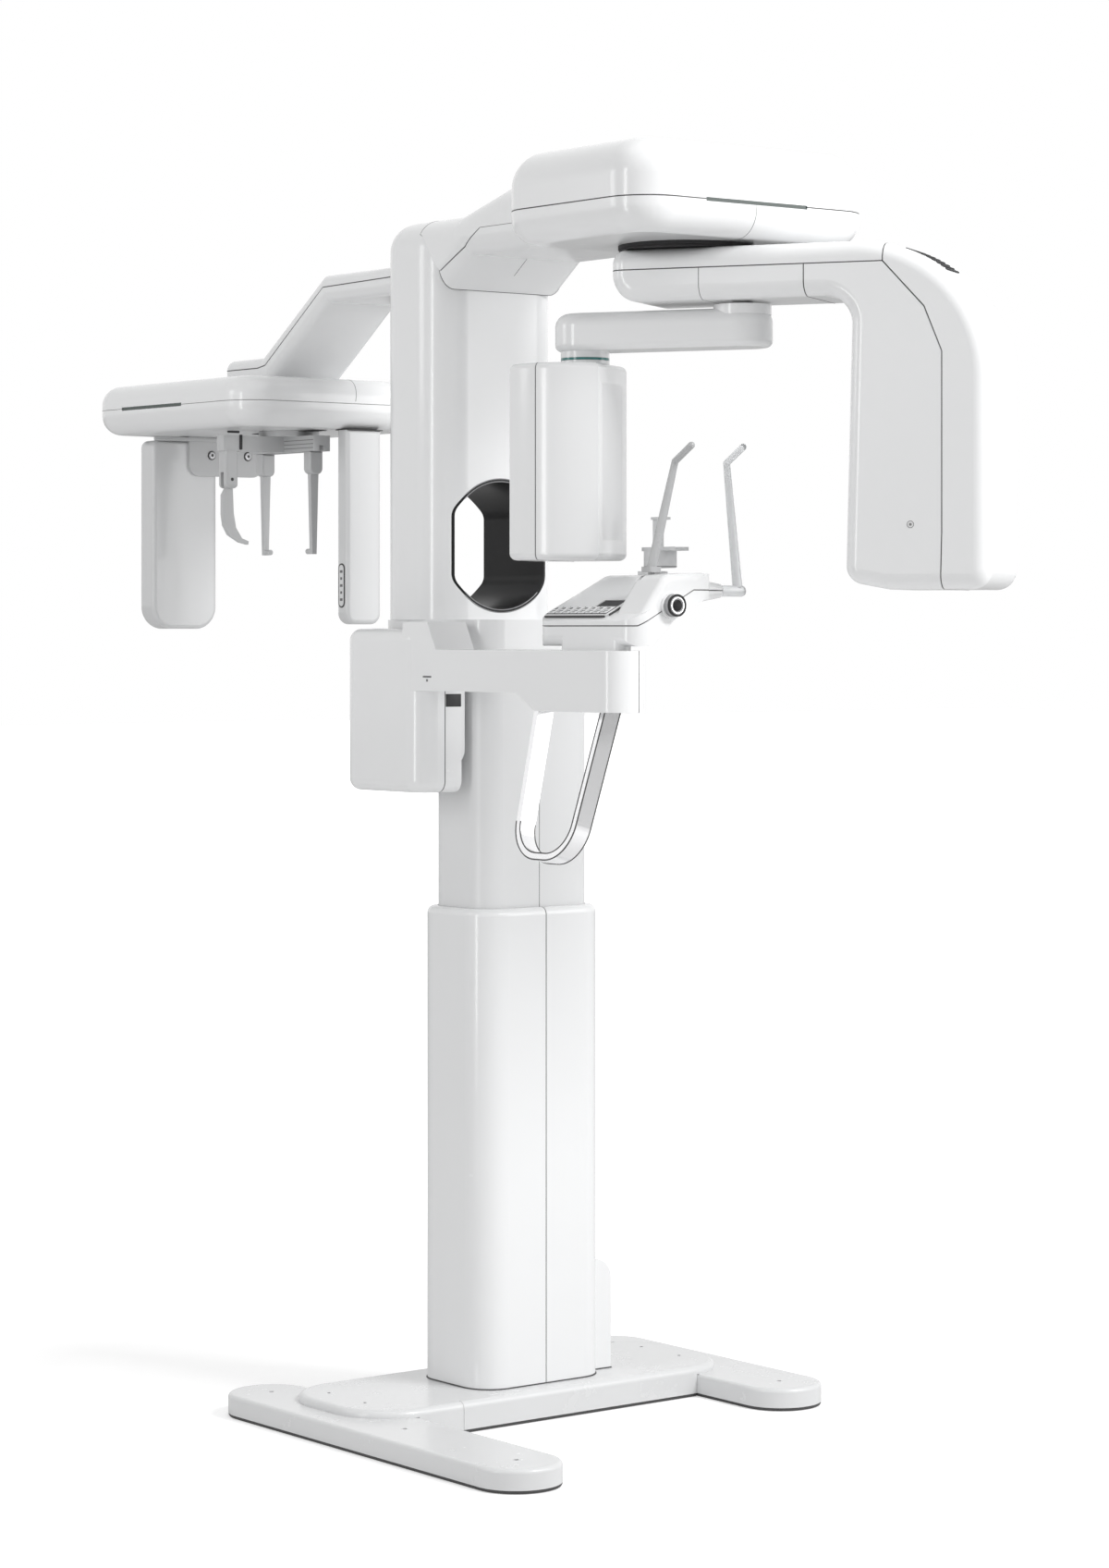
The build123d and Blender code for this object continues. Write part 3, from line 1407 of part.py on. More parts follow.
handle_rise = arm_drop - handle_low
handle_fall = math.hypot(handle_rise, handle_lean)
handle_up = Vector(handle_lean, 0, handle_rise).normalized()
handle_plane = Plane(origin=(handle_plane_x, handle_mid_y, arm_drop), x_dir=(0, 1, 0),
                     z_dir=Vector(0, 1, 0).cross(handle_up))
with BuildPart() as grab_handle:
    with BuildLine(handle_plane) as handle_path:
        FilletPolyline(
            (-handle_top_half, handle_band), (-handle_low_half, -handle_fall + handle_thickness / 2),
            (handle_low_half, -handle_fall + handle_thickness / 2), (handle_top_half, handle_band),
            radius=handle_low_half - 8)
    with BuildSketch(handle_path.line ^ 0):
        Rectangle(handle_band, handle_thickness)
    sweep()
    add(block_between(-far, far, -far, far, 0, arm_under), mode=Mode.INTERSECT)
    add(arm_form.part, mode=Mode.SUBTRACT)
grab_handle.part.label = "grab_handle"
export_step(grab_handle.part, "parts/grab_handle.step")

# Console: a crescent tray parted along its seam, with a raised end and a wing for the temple rods

console_right = 20.0
console_side = 34.0
console_nose_x = -15.0
console_shoulder_y = -400.0
hump_foot_x = -166.0
hump_left_x = -112.0
hump_back = -468.0
hump_rise = 2.0
hump_round = 24.0
wing_low = wing_z - wing_tip_size / 2
console_underside = (
    (console_left + 38, console_bottom + 2), (console_left + 82, panel_foot),
    (ridge_x - 7, wing_low - 4), (console_right, wing_low))
console_corners = (
    (console_left, console_bottom), *console_underside, (console_right, console_ridge),
    (ridge_x, console_ridge), (console_left, panel_foot))


def console_profile(points, back, front):
    """Prism through an outline in the upright plane across the console."""
    with BuildPart() as prism:
        with BuildSketch(front_plane(front)):
            with BuildLine():
                Polyline(*points, close=True)
            make_face()
        extrude(amount=-(back - front))
    return prism.part


with BuildPart() as console_plan:
    with BuildSketch(Plane.XY.offset(console_bottom)) as outline:
        with BuildLine():
            Polyline(
                (console_left, console_front), (console_nose_x, console_front),
                (console_right, console_shoulder_y), (console_right, console_back),
                (console_left, console_back), close=True)
        make_face()
        fillet(outline.vertices().sort_by(Axis.X), console_side)
    extrude(amount=console_ridge + hump_rise - console_bottom)

with BuildPart() as hump_form:
    add(console_profile((
        (hump_foot_x, console_seam), (hump_foot_x, panel_foot), (hump_left_x, console_ridge - hump_rise),
        (ridge_x, console_ridge + hump_rise), (console_nose_x, console_ridge - 3 * hump_rise),
        (console_right, wing_z + wing_tip_size / 2), (console_right, console_seam)),
        hump_back, console_front))
    along = hump_form.edges().filter_by(Axis.Y)
    fillet(along.filter_by(lambda e: hump_foot_x + 1 < e.center().X < console_right - 1
                           and e.center().Z > wing_z), hump_round)
    top_rims = hump_form.edges().filter_by(
        lambda e: (e.center().Y < console_front + 1 or e.center().Y > hump_back - 1)
        and e.center().Z > panel_foot + 1 and e.center().X < console_right - 1)
    fillet(top_rims, hump_round / 2)
    add(console_profile(
        (*console_underside, (console_right + 9, wing_low), (console_right + 9, console_bottom)),
        hump_back + 9, console_front - 9), mode=Mode.SUBTRACT)

with BuildPart() as console_form:
    add(console_profile(console_corners, console_back, console_front))
    ridge_edges = console_form.edges().filter_by(Axis.Y)
    fillet(ridge_edges.filter_by(lambda e: abs(e.center().X - ridge_x) < 1), console_side)
    foot_edges = console_form.edges().filter_by(Axis.Y)
    fillet(foot_edges.filter_by(lambda e: e.center().X < console_left + 1
                                and e.center().Z < console_bottom + 1), console_side / 2)
    add(hump_form.part)
    add(console_plan.part, mode=Mode.INTERSECT)

console_seam_line = (
    (console_left - 9, console_seam), (console_left + 15, console_seam),
    (wing_start_x, wing_z), (far, wing_z))


def console_region(shift, limit):
    """Prism above or below the console's seam."""
    line = [(x, z + shift) for x, z in console_seam_line]
    return console_profile(
        (*line, (far, limit), (console_left - 9, limit)), console_back + 9, console_front - 9)


with BuildPart() as wing_form:
    with BuildSketch(side_plane(wing_root_x)):
        with Locations((wing_y, wing_z)):
            RectangleRounded(wing_root_size, wing_root_size, wing_root_size / 3)
    with BuildSketch(side_plane(wing_tip_x)):
        with Locations((wing_y, wing_z)):
            RectangleRounded(wing_tip_size, wing_tip_size, wing_tip_size / 3)
    loft()

rod_slot_low = console_seam + 34
rod_slot = block_between(
    rod_left_x - temple_travel - hub_stem_radius - 1, rod_left_x + hub_stem_radius + 1,
    wing_y - hub_stem_radius - running_gap, wing_y + hub_stem_radius + running_gap, rod_slot_low, far)
hub_z = wing_z
stem_hole_radius = hub_stem_radius + shaft_clearance
keypad_slope = (console_ridge - panel_foot) / (ridge_x - console_left)
panel_up = Vector(1, 0, keypad_slope).normalized()
panel_plane = Plane(origin=(console_left, 0, panel_foot), x_dir=(0, -1, 0),
                    z_dir=Vector(0, -1, 0).cross(panel_up))
keypad_middle = -(keypad_back + keypad_front) / 2
display_middle = -(display_back + display_front) / 2
keypad_foot = 14.0

with BuildPart() as keypad_seat:
    with BuildSketch(panel_plane):
        with Locations((keypad_middle, keypad_foot + keypad_width / 2)):
            RectangleRounded(keypad_back - keypad_front, keypad_width, 6)
    extrude(amount=-keypad_inset)
with BuildPart() as keypad_plate:
    with BuildSketch(panel_plane):
        with Locations((keypad_middle, keypad_foot + keypad_width / 2)):
            RectangleRounded(keypad_back - keypad_front, keypad_width, 6)
    extrude(amount=keypad_height)
    fillet(keypad_plate.faces().sort_by(lambda f: f.center().dot(panel_plane.z_dir))[-1].edges(), 1.5)
    add(keypad_seat.part)
keypad_plate.part.label = "keypad"
export_step(keypad_plate.part, "parts/keypad.step")

with BuildPart() as display_pane:
    with BuildSketch(panel_plane.offset(-display_recess)):
        with Locations((display_middle, display_from_foot + display_width / 2)):
            Rectangle(display_back - display_front, display_width)
    extrude(amount=-keypad_inset)
display_pane.part.label = "display_pane"
export_step(display_pane.part, "parts/display_pane.step")
with BuildPart() as display_seat:
    with BuildSketch(panel_plane.offset(keypad_inset)):
        with Locations((display_middle, display_from_foot + display_width / 2)):
            Rectangle(display_back - display_front, display_width)
    extrude(amount=-2 * keypad_inset - display_recess)

chin_base_half = 17.0
chin_base_high = 1392.0
chin_stem_half = 9.0
chin_shaft = block_between(
    -chin_stem_half - shaft_clearance, chin_stem_half + shaft_clearance,
    chin_stem_y - chin_stem_half - shaft_clearance, chin_stem_y + chin_stem_half + shaft_clearance, 0, far)
right_stem_hole = Plane(origin=(wing_tip_x - hub_stem_length - 4, wing_y, hub_z), x_dir=(0, 1, 0),
                        z_dir=(1, 0, 0))
with BuildPart() as wing_bore:
    with BuildSketch(right_stem_hole):
        Circle(stem_hole_radius)
    extrude(amount=hub_stem_length + 9)
with BuildPart() as knob_bore:
    with BuildSketch(front_plane(console_front - 9)):
        with Locations((knob_x, knob_z)):
            Circle(knob_pin_radius + shaft_clearance)
    extrude(amount=-(knob_length + 18))

with BuildPart() as console_upper_cover:
    add(console_form.part)
    add(wing_form.part)
    add(console_region(half_gap, far), mode=Mode.INTERSECT)
    add(block_between(-chin_base_half, chin_base_half, chin_stem_y - chin_base_half,
                      chin_stem_y + chin_base_half, console_ridge, chin_base_high))
    add(keypad_seat.part, mode=Mode.SUBTRACT)
    add(display_seat.part, mode=Mode.SUBTRACT)
    add(chin_shaft, mode=Mode.SUBTRACT)
    add(rod_slot, mode=Mode.SUBTRACT)
    add(wing_bore.part, mode=Mode.SUBTRACT)
    add(knob_bore.part, mode=Mode.SUBTRACT)
console_upper_cover.part.label = "console_upper_cover"
export_step(console_upper_cover.part, "parts/console_upper_cover.step")

with BuildPart() as console_lower_cover:
    add(console_form.part)
    add(wing_form.part)
    with BuildSketch(Plane.XY.offset(arm_top)):
        with Locations((pedestal_x, pedestal_y)):
            RectangleRounded(pedestal_width, pedestal_length, pedestal_width / 2 - 1)
    extrude(amount=console_seam - arm_top - cover_wall)
    add(console_region(-half_gap, 0), mode=Mode.INTERSECT)
    add(chin_shaft, mode=Mode.SUBTRACT)
    add(rod_slot, mode=Mode.SUBTRACT)
    add(wing_bore.part, mode=Mode.SUBTRACT)
    add(knob_bore.part, mode=Mode.SUBTRACT)
console_lower_cover.part.label = "console_lower_cover"
export_step(console_lower_cover.part, "parts/console_lower_cover.step")

with BuildPart() as temple_knob:
    with BuildSketch(front_plane(console_front - running_gap)):
        with Locations((knob_x, knob_z)):
            Circle(knob_radius)
    extrude(amount=knob_length)
    fillet(temple_knob.faces().sort_by(Axis.Y)[0].edges(), 2)
    with BuildSketch(front_plane(console_front - running_gap)):
        with Locations((knob_x, knob_z)):
            Circle(knob_pin_radius)
    extrude(amount=-knob_length)
temple_knob.part.label = "temple_knob"
export_step(temple_knob.part, "parts/temple_knob.step")

# Temple rods on their sliding hubs

block_low = console_ridge + hump_rise + running_gap


def make_temple_rod(x, side, foot_z):
    """Tapered rod that leans inward and turns forward at its tip."""
    foot = Vector(x, wing_y, foot_z - 6)
    bend = Vector(x - side * rod_lean, wing_y - rod_forward, rod_top_z)
    tip = bend + Vector(0, -rod_tip_reach, rod_tip_rise)
    shank = Plane(origin=foot, z_dir=bend - foot)
    finger = Plane(origin=bend, z_dir=tip - bend)
    with BuildPart() as rod:
        with BuildSketch(shank):
            Circle(rod_low_radius)
        with BuildSketch(shank.offset((bend - foot).length)):
            Circle(rod_high_radius)
        loft()
        with BuildSketch(finger):
            Circle(rod_high_radius)
        extrude(amount=(tip - bend).length)
        with Locations(bend, tip):
            Sphere(rod_high_radius)
        add(block_between(-far, far, -far, far, foot_z - 4, far), mode=Mode.INTERSECT)
    return rod


hub_left_end = wing_tip_x + running_gap
with BuildPart() as hub_right:
    with BuildSketch(side_plane(hub_left_end)):
        with Locations((wing_y, hub_z)):
            Circle(hub_radius)
    extrude(amount=hub_length)
    fillet(hub_right.faces().sort_by(Axis.X)[-1].edges(), hub_radius - 3)
    with BuildSketch(side_plane(hub_left_end)):
        with Locations((wing_y, hub_z)):
            Circle(hub_stem_radius)
    extrude(amount=-hub_stem_length)
with BuildPart() as hub_left:
    with BuildSketch(Plane.XY.offset(rod_slot_low + running_gap)):
        with Locations((rod_left_x, wing_y)):
            Circle(hub_stem_radius)
    extrude(amount=block_low - rod_slot_low)
    with BuildSketch(Plane.XY.offset(block_low)):
        with Locations((rod_left_x, wing_y)):
            RectangleRounded(left_block_size, left_block_size, 4)
    extrude(amount=left_block_high - block_low)

for name, x, side, foot_z, hub in (
        ("left", rod_left_x, -1, left_block_high, hub_left),
        ("right", rod_right_x, 1, hub_z + hub_radius, hub_right)):
    with BuildPart() as temple_rod:
        add(make_temple_rod(x, side, foot_z).part)
        add(hub.part)
    temple_rod.part.label = "temple_rod_" + name
    export_step(temple_rod.part, "parts/temple_rod_" + name + ".step")

# Chin rest on its square stem

with BuildPart() as chin_rest:
    with BuildSketch(Plane.XY.offset(chin_cup_low)):
        with Locations((0, (chin_cup_back + chin_cup_front) / 2)):
            SlotOverall(chin_cup_back - chin_cup_front, 2 * chin_cup_radius, rotation=90)
    extrude(amount=chin_cup_high - chin_cup_low)
    fillet(chin_rest.faces().sort_by(Axis.Z)[0].edges(), 3)
    with BuildSketch(Plane.XY.offset(chin_cup_high)):
        with Locations((0, (chin_plate_back + chin_plate_front) / 2)):
            RectangleRounded(
                2 * chin_plate_half_width, chin_plate_back - chin_plate_front, chin_plate_half_width - 3)
        with Locations((0, chin_plate_front + 6)):
            Circle(14, mode=Mode.SUBTRACT)
    extrude(amount=chin_plate_high - chin_cup_high)
    add(block_between(-chin_stem_half, chin_stem_half, chin_stem_y - chin_stem_half,
                      chin_stem_y + chin_stem_half, wing_low + 2, chin_cup_low + 1))
chin_rest.part.label = "chin_rest"
export_step(chin_rest.part, "parts/chin_rest.step")

with BuildPart() as bite_post:
    with BuildSketch(Plane.XY.offset(chin_plate_high)):
        with Locations((0, bite_y)):
            RectangleRounded(2.4 * bite_radius, 3 * bite_radius, bite_radius)
    extrude(amount=bite_high - chin_plate_high)
    with BuildSketch(Plane.XY.offset(bite_high)):
        with Locations((0, bite_y - 6)):
            RectangleRounded(bite_flange, bite_flange + 8, 9)
    extrude(amount=4)
bite_post.part.label = "bite_post"
export_step(bite_post.part, "parts/bite_post.step")
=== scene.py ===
"""A floor-standing dental scanner: moulded white covers, glossy and softly lit."""
import json
import math

import bmesh
import bpy
from mathutils import Matrix, Vector


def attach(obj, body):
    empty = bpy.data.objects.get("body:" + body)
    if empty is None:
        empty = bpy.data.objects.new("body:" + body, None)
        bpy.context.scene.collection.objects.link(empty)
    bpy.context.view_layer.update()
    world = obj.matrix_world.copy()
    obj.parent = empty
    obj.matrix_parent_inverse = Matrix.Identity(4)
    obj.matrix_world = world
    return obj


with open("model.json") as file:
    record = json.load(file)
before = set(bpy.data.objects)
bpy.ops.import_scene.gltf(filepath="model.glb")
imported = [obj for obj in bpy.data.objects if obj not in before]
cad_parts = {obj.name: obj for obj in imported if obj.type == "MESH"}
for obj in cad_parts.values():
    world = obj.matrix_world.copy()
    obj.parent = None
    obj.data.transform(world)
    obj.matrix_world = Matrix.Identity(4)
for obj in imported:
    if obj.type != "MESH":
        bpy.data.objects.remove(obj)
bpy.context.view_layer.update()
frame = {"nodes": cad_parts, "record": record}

MM = 0.001
scene = bpy.context.scene
scene.view_settings.view_transform = "Standard"


# The camera stands where the photograph was taken from.
def place_camera():
    data = bpy.data.cameras.new("camera")
    data.sensor_width = 36
    data.lens = 88.85
    data.shift_y = -0.099
    data.clip_end = 100
    camera = bpy.data.objects.new("camera", data)
    camera.location = (-3.934, -5.152, 1.3)
    camera.rotation_euler = (math.radians(90), 0, math.radians(-38))
    scene.collection.objects.link(camera)
    scene.camera = camera


# Small helpers for node trees.
def new_material(name):
    material = bpy.data.materials.new(name)
    material.use_nodes = True
    material.node_tree.nodes.clear()
    return material


def node(tree, kind, **settings):
    made = tree.nodes.new(kind)
    for key, value in settings.items():
        setattr(made, key, value)
    return made


def join(tree, start, end):
    tree.links.new(start, end)


def new_group(name, inputs, outputs):
    group = bpy.data.node_groups.new(name, "ShaderNodeTree")
    for label, value in inputs:
        socket = group.interface.new_socket(name=label, in_out="INPUT", socket_type="NodeSocketFloat")
        socket.default_value = value
    for label in outputs:
        group.interface.new_socket(name=label, in_out="OUTPUT", socket_type="NodeSocketFloat")
    return group, node(group, "NodeGroupInput"), node(group, "NodeGroupOutput")


# Fine orange-peel of a moulded or painted skin, broad mottling, and faint handling marks.
def make_skin_group():
    group, given, result = new_group(
        "moulded_skin",
        [("Peel Scale", 260.0), ("Mottle Scale", 3.0), ("Mark Scale", 14.0)],
        ["Peel", "Mottle", "Marks"],
    )
    place = node(group, "ShaderNodeTexCoord")
    peel = node(group, "ShaderNodeTexNoise")
    peel.inputs["Detail"].default_value = 2.0
    mottle = node(group, "ShaderNodeTexNoise")
    mottle.inputs["Detail"].default_value = 3.0
    marks = node(group, "ShaderNodeTexNoise")
    marks.inputs["Detail"].default_value = 6.0
    marks.inputs["Roughness"].default_value = 0.7
    edge = node(group, "ShaderNodeMapRange")
    edge.inputs["From Min"].default_value = 0.58
    edge.inputs["From Max"].default_value = 0.74
    for texture, label in ((peel, "Peel Scale"), (mottle, "Mottle Scale"), (marks, "Mark Scale")):
        join(group, place.outputs["Object"], texture.inputs["Vector"])
        join(group, given.outputs[label], texture.inputs["Scale"])
    join(group, marks.outputs["Fac"], edge.inputs["Value"])
    join(group, peel.outputs["Fac"], result.inputs["Peel"])
    join(group, mottle.outputs["Fac"], result.inputs["Mottle"])
    join(group, edge.outputs["Result"], result.inputs["Marks"])
    return group


# Long fine lines, as drawn or brushed metal shows along one direction.
def make_lines_group():
    group, given, result = new_group(
        "drawn_lines", [("Across", 700.0), ("Along X", 1.0), ("Along Y", 1.0), ("Along Z", 0.01)], ["Lines"]
    )
    place = node(group, "ShaderNodeTexCoord")
    stretch = node(group, "ShaderNodeCombineXYZ")
    scaled = node(group, "ShaderNodeVectorMath", operation="MULTIPLY")
    noise = node(group, "ShaderNodeTexNoise")
    noise.inputs["Detail"].default_value = 3.0
    for axis in "XYZ":
        join(group, given.outputs["Along " + axis], stretch.inputs[axis])
    join(group, place.outputs["Object"], scaled.inputs[0])
    join(group, stretch.outputs["Vector"], scaled.inputs[1])
    join(group, scaled.outputs["Vector"], noise.inputs["Vector"])
    join(group, given.outputs["Across"], noise.inputs["Scale"])
    join(group, noise.outputs["Fac"], result.inputs["Lines"])
    return group


skin_group = make_skin_group()
lines_group = make_lines_group()


def ramp(tree, value, low, high):
    spread = node(tree, "ShaderNodeMapRange")
    spread.inputs["To Min"].default_value = low
    spread.inputs["To Max"].default_value = high
    join(tree, value, spread.inputs["Value"])
    return spread.outputs["Result"]


def colour_between(tree, value, first, second):
    mix = node(tree, "ShaderNodeMix", data_type="RGBA")
    join(tree, value, mix.inputs["Factor"])
    mix.inputs["A"].default_value = (*first, 1.0)
    mix.inputs["B"].default_value = (*second, 1.0)
    return mix.outputs["Result"]


# One finish: a base colour with mottling, roughness with handling marks, and a bump of peel or lines.
def finish(name, colour, rough, tint=0.965, peel=260.0, bump=0.00002, metal=0.0, coat=0.0, clear=0.0,
           glass_index=1.49, lines=None, mark_rough=0.08, mottle=3.0, glow=None, alpha=None):
    material = new_material(name)
    tree = material.node_tree
    shader = node(tree, "ShaderNodeBsdfPrincipled")
    output = node(tree, "ShaderNodeOutputMaterial")
    skin = node(tree, "ShaderNodeGroup", node_tree=skin_group)
    skin.inputs["Peel Scale"].default_value = peel
    skin.inputs["Mottle Scale"].default_value = mottle
    shader.inputs["Metallic"].default_value = metal
    shader.inputs["Coat Weight"].default_value = coat
    shader.inputs["Coat Roughness"].default_value = 0.06
    shader.inputs["Transmission Weight"].default_value = clear
    shader.inputs["IOR"].default_value = glass_index
    second = tuple(c * tint for c in colour)
    join(tree, colour_between(tree, skin.outputs["Mottle"], colour, second), shader.inputs["Base Color"])
    rough_sum = node(tree, "ShaderNodeMath", operation="ADD")
    join(tree, ramp(tree, skin.outputs["Mottle"], rough * 0.85, rough * 1.15), rough_sum.inputs[0])
    join(tree, ramp(tree, skin.outputs["Marks"], 0.0, mark_rough), rough_sum.inputs[1])
    join(tree, rough_sum.outputs["Value"], shader.inputs["Roughness"])
    relief = node(tree, "ShaderNodeBump")
    relief.inputs["Distance"].default_value = bump
    if lines:
        drawn = node(tree, "ShaderNodeGroup", node_tree=lines_group)
        for axis, value in zip("XYZ", lines):
            drawn.inputs["Along " + axis].default_value = value
        join(tree, drawn.outputs["Lines"], relief.inputs["Height"])
    else:
        join(tree, skin.outputs["Peel"], relief.inputs["Height"])
    join(tree, relief.outputs["Normal"], shader.inputs["Normal"])
    join(tree, shader.outputs["BSDF"], output.inputs["Surface"])
    return material


ALONG_Z = (1.0, 1.0, 0.012)
ALONG_Y = (1.0, 0.012, 1.0)
finishes = {
    "white_cover": finish("white_cover", (0.86, 0.865, 0.87), 0.20, coat=0.2),
    "white_metal": finish("white_metal", (0.84, 0.845, 0.85), 0.26, peel=420.0, bump=0.00004, coat=0.15),
    "white_profile": finish("white_profile", (0.79, 0.795, 0.80), 0.34, bump=0.00002, lines=ALONG_Z),
    "pad_rubber": finish("pad_rubber", (0.03, 0.03, 0.03), 0.75, bump=0.0001),
    "bare_steel": finish("bare_steel", (0.56, 0.56, 0.57), 0.32, metal=1.0, lines=ALONG_Z),
    "dark_gloss": finish("dark_gloss", (0.016, 0.018, 0.018), 0.10, coat=0.5),
    "dark_matte": finish("dark_matte", (0.03, 0.03, 0.032), 0.5),
    "grey_metal": finish("grey_metal", (0.36, 0.36, 0.37), 0.38, bump=0.00004),
    "polished_metal": finish("polished_metal", (0.92, 0.92, 0.93), 0.16, metal=0.75, bump=0.00001, lines=ALONG_Z),
    "keypad_white": finish("keypad_white", (0.74, 0.745, 0.75), 0.42, peel=600.0, bump=0.00005),
    "grille_white": finish("grille_white", (0.80, 0.805, 0.81), 0.3),
    "teal_ring": finish("teal_ring", (0.010, 0.16, 0.15), 0.2, coat=0.3),
    "panel_grey": finish("panel_grey", (0.80, 0.805, 0.81), 0.32, peel=500.0, bump=0.00004),
    "rod_clear": finish("rod_clear", (0.80, 0.81, 0.82), 0.10, clear=0.6, tint=0.98, mark_rough=0.03),
    "chin_grey": finish("chin_grey", (0.68, 0.685, 0.69), 0.4, peel=500.0, bump=0.00004),
    "grey_plastic": finish("grey_plastic", (0.56, 0.565, 0.57), 0.3, peel=500.0, bump=0.00004),
}
# Dark for real seams and joints, and also for painted shadow and painted dark reflection cords.
seam_and_shadow_dark = finish("seam_and_shadow_dark", (0.06, 0.06, 0.06), 0.6)
groove_grey = finish("groove_grey", (0.22, 0.22, 0.22), 0.6)
mark_grey = finish("mark_grey", (0.16, 0.16, 0.165), 0.5)
screw_steel = finish("screw_steel", (0.42, 0.42, 0.43), 0.28, metal=1.0)
rod_grey = finish("rod_grey", (0.50, 0.505, 0.51), 0.25, peel=500.0)
# Near-black painted shade: the deep gap round the slewing ring and the inside of the grille slots.
painted_shade_black = finish("painted_shade_black", (0.012, 0.012, 0.013), 0.6)
liner_dark = finish("liner_dark", (0.014, 0.014, 0.015), 0.32, glass_index=1.3)
screen_black = finish("screen_black", (0.008, 0.008, 0.009), 0.28, glass_index=1.25)
foot_paint = finish("foot_paint", (0.73, 0.735, 0.74), 0.26, peel=420.0, bump=0.00004, coat=0.15)
# The white cover colour darkened as painted shade; the collimator and detector are the same white plastic as the
# other covers.
painted_shade_cover = finish("painted_shade_cover", (0.68, 0.685, 0.69), 0.22, coat=0.2)
strip_green = finish("strip_green", (0.010, 0.030, 0.024), 0.12, coat=0.4)


def dress(name, material):
    for place in frame["nodes"][name].material_slots:
        place.material = material


for part in frame["record"]["subparts"]:
    dress(part["node"], finishes[part["material_slot"]])
# The slewing ring and gantry shaft are painted near-black as painted shade for the gap between housing and gantry.
dress("slewing_ring", painted_shade_black)
dress("gantry_shaft", painted_shade_black)
dress("box_back_panel", finishes["white_metal"])
dress("temple_rod_left", rod_grey)
dress("indicator_strips", strip_green)
dress("window_liner", liner_dark)
dress("display_pane", screen_black)
dress("temple_knob", finishes["grey_metal"])
for name in ("foot_left", "foot_right", "cross_cover"):
    dress(name, foot_paint)
# The collimator and detector take the darker painted-shade cover colour.
for name in ("skull_collimator", "skull_detector"):
    dress(name, painted_shade_cover)


# Finished pieces: each is built in place, rides on a body and takes the finish it is given.
def finish_piece(name, mesh, body, material, smooth=40):
    mesh.materials.clear()
    mesh.materials.append(material)
    mesh.shade_smooth()
    mesh.set_sharp_from_angle(angle=math.radians(smooth))
    piece = bpy.data.objects.new(name, mesh)
    scene.collection.objects.link(piece)
    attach(piece, body)
    return piece


def make_piece(name, form, body, material, smooth=40):
    bmesh.ops.remove_doubles(form, verts=form.verts, dist=0.002 * MM)
    bmesh.ops.recalc_face_normals(form, faces=form.faces)
    mesh = bpy.data.meshes.new(name)
    form.to_mesh(mesh)
    form.free()
    return finish_piece(name, mesh, body, material, smooth)


# A place on a surface, in millimetres: across, up, and outwards from it.
def spot(origin, across=(1, 0, 0), up=(0, 0, 1)):
    across, up = Vector(across).normalized(), Vector(up).normalized()
    turned = Matrix((across, up, across.cross(up))).transposed().to_4x4()
    return Matrix.Translation(Vector(origin) * MM) @ turned @ Matrix.Scale(MM, 4)


def put(form, old, place):
    bmesh.ops.transform(form, matrix=place, verts=[v for v in form.verts if v not in old])


def add_block(form, place, middle, size, rounding=0.0, segments=2):
    old = set(form.verts)
    made = bmesh.ops.create_cube(form, size=1.0)["verts"]
    bmesh.ops.scale(form, vec=size, verts=made)
    bmesh.ops.translate(form, vec=middle, verts=made)
    if rounding:
        bmesh.ops.bevel(form, geom=list({e for v in made for e in v.link_edges}), offset=rounding,
                        offset_type="OFFSET", segments=segments, profile=0.5, affect="EDGES", material=-1,
                        clamp_overlap=True)
    put(form, old, place)


def add_disc(form, place, radius, height, rounding=0.0, segments=40, middle=(0, 0)):
    old = set(form.verts)
    made = bmesh.ops.create_cone(form, cap_ends=True, cap_tris=False, segments=segments, radius1=radius,
                                 radius2=radius, depth=height)["verts"]
    bmesh.ops.translate(form, vec=(*middle, height / 2), verts=made)
    if rounding:
        rim = [e for e in {e for v in made for e in v.link_edges} if all(v.co.z > height - 0.01 for v in e.verts)]
        bmesh.ops.bevel(form, geom=rim, offset=rounding, offset_type="OFFSET", segments=3, profile=0.5,
                        affect="EDGES", material=-1, clamp_overlap=True)
    put(form, old, place)


def add_hoop(form, place, outer, inner, low, high, steps=56):
    old = set(form.verts)
    corners = [form.verts.new(c) for c in ((inner, 0, low), (outer, 0, low), (outer, 0, high), (inner, 0, high))]
    edges = [form.edges.new((corners[i], corners[(i + 1) % 4])) for i in range(4)]
    bmesh.ops.spin(form, geom=corners + edges, cent=(0, 0, 0), axis=(0, 0, 1), angle=2 * math.pi, steps=steps,
                   use_merge=True)
    put(form, old, place)


def add_plate(form, place, outline, height, rounding=0.0):
    old = set(form.verts)
    face = form.faces.new([form.verts.new((x, y, 0)) for x, y in outline])
    grown = bmesh.ops.extrude_face_region(form, geom=[face])["geom"]
    top = [g for g in grown if isinstance(g, bmesh.types.BMVert)]
    bmesh.ops.translate(form, vec=(0, 0, height), verts=top)
    if rounding:
        rim = [e for e in {e for v in top for e in v.link_edges} if all(v.co.z > height - 0.01 for v in e.verts)]
        bmesh.ops.bevel(form, geom=rim, offset=rounding, offset_type="OFFSET", segments=2, profile=0.5,
                        affect="EDGES", material=-1, clamp_overlap=True)
    put(form, old, place)


def add_rounded_plate(form, place, width, height, corner, thickness, segments=8):
    old = set(form.verts)
    face = form.faces.new([form.verts.new((x * width / 2, y * height / 2, 0))
                           for x, y in ((-1, -1), (1, -1), (1, 1), (-1, 1))])
    bmesh.ops.bevel(form, geom=list(face.verts), offset=corner, offset_type="OFFSET", segments=segments,
                    profile=0.5, affect="VERTICES", material=-1, clamp_overlap=True)
    flat = [f for f in form.faces if all(v not in old for v in f.verts)]
    grown = bmesh.ops.extrude_face_region(form, geom=flat)["geom"]
    bmesh.ops.translate(form, vec=(0, 0, thickness), verts=[g for g in grown if isinstance(g, bmesh.types.BMVert)])
    put(form, old, place)
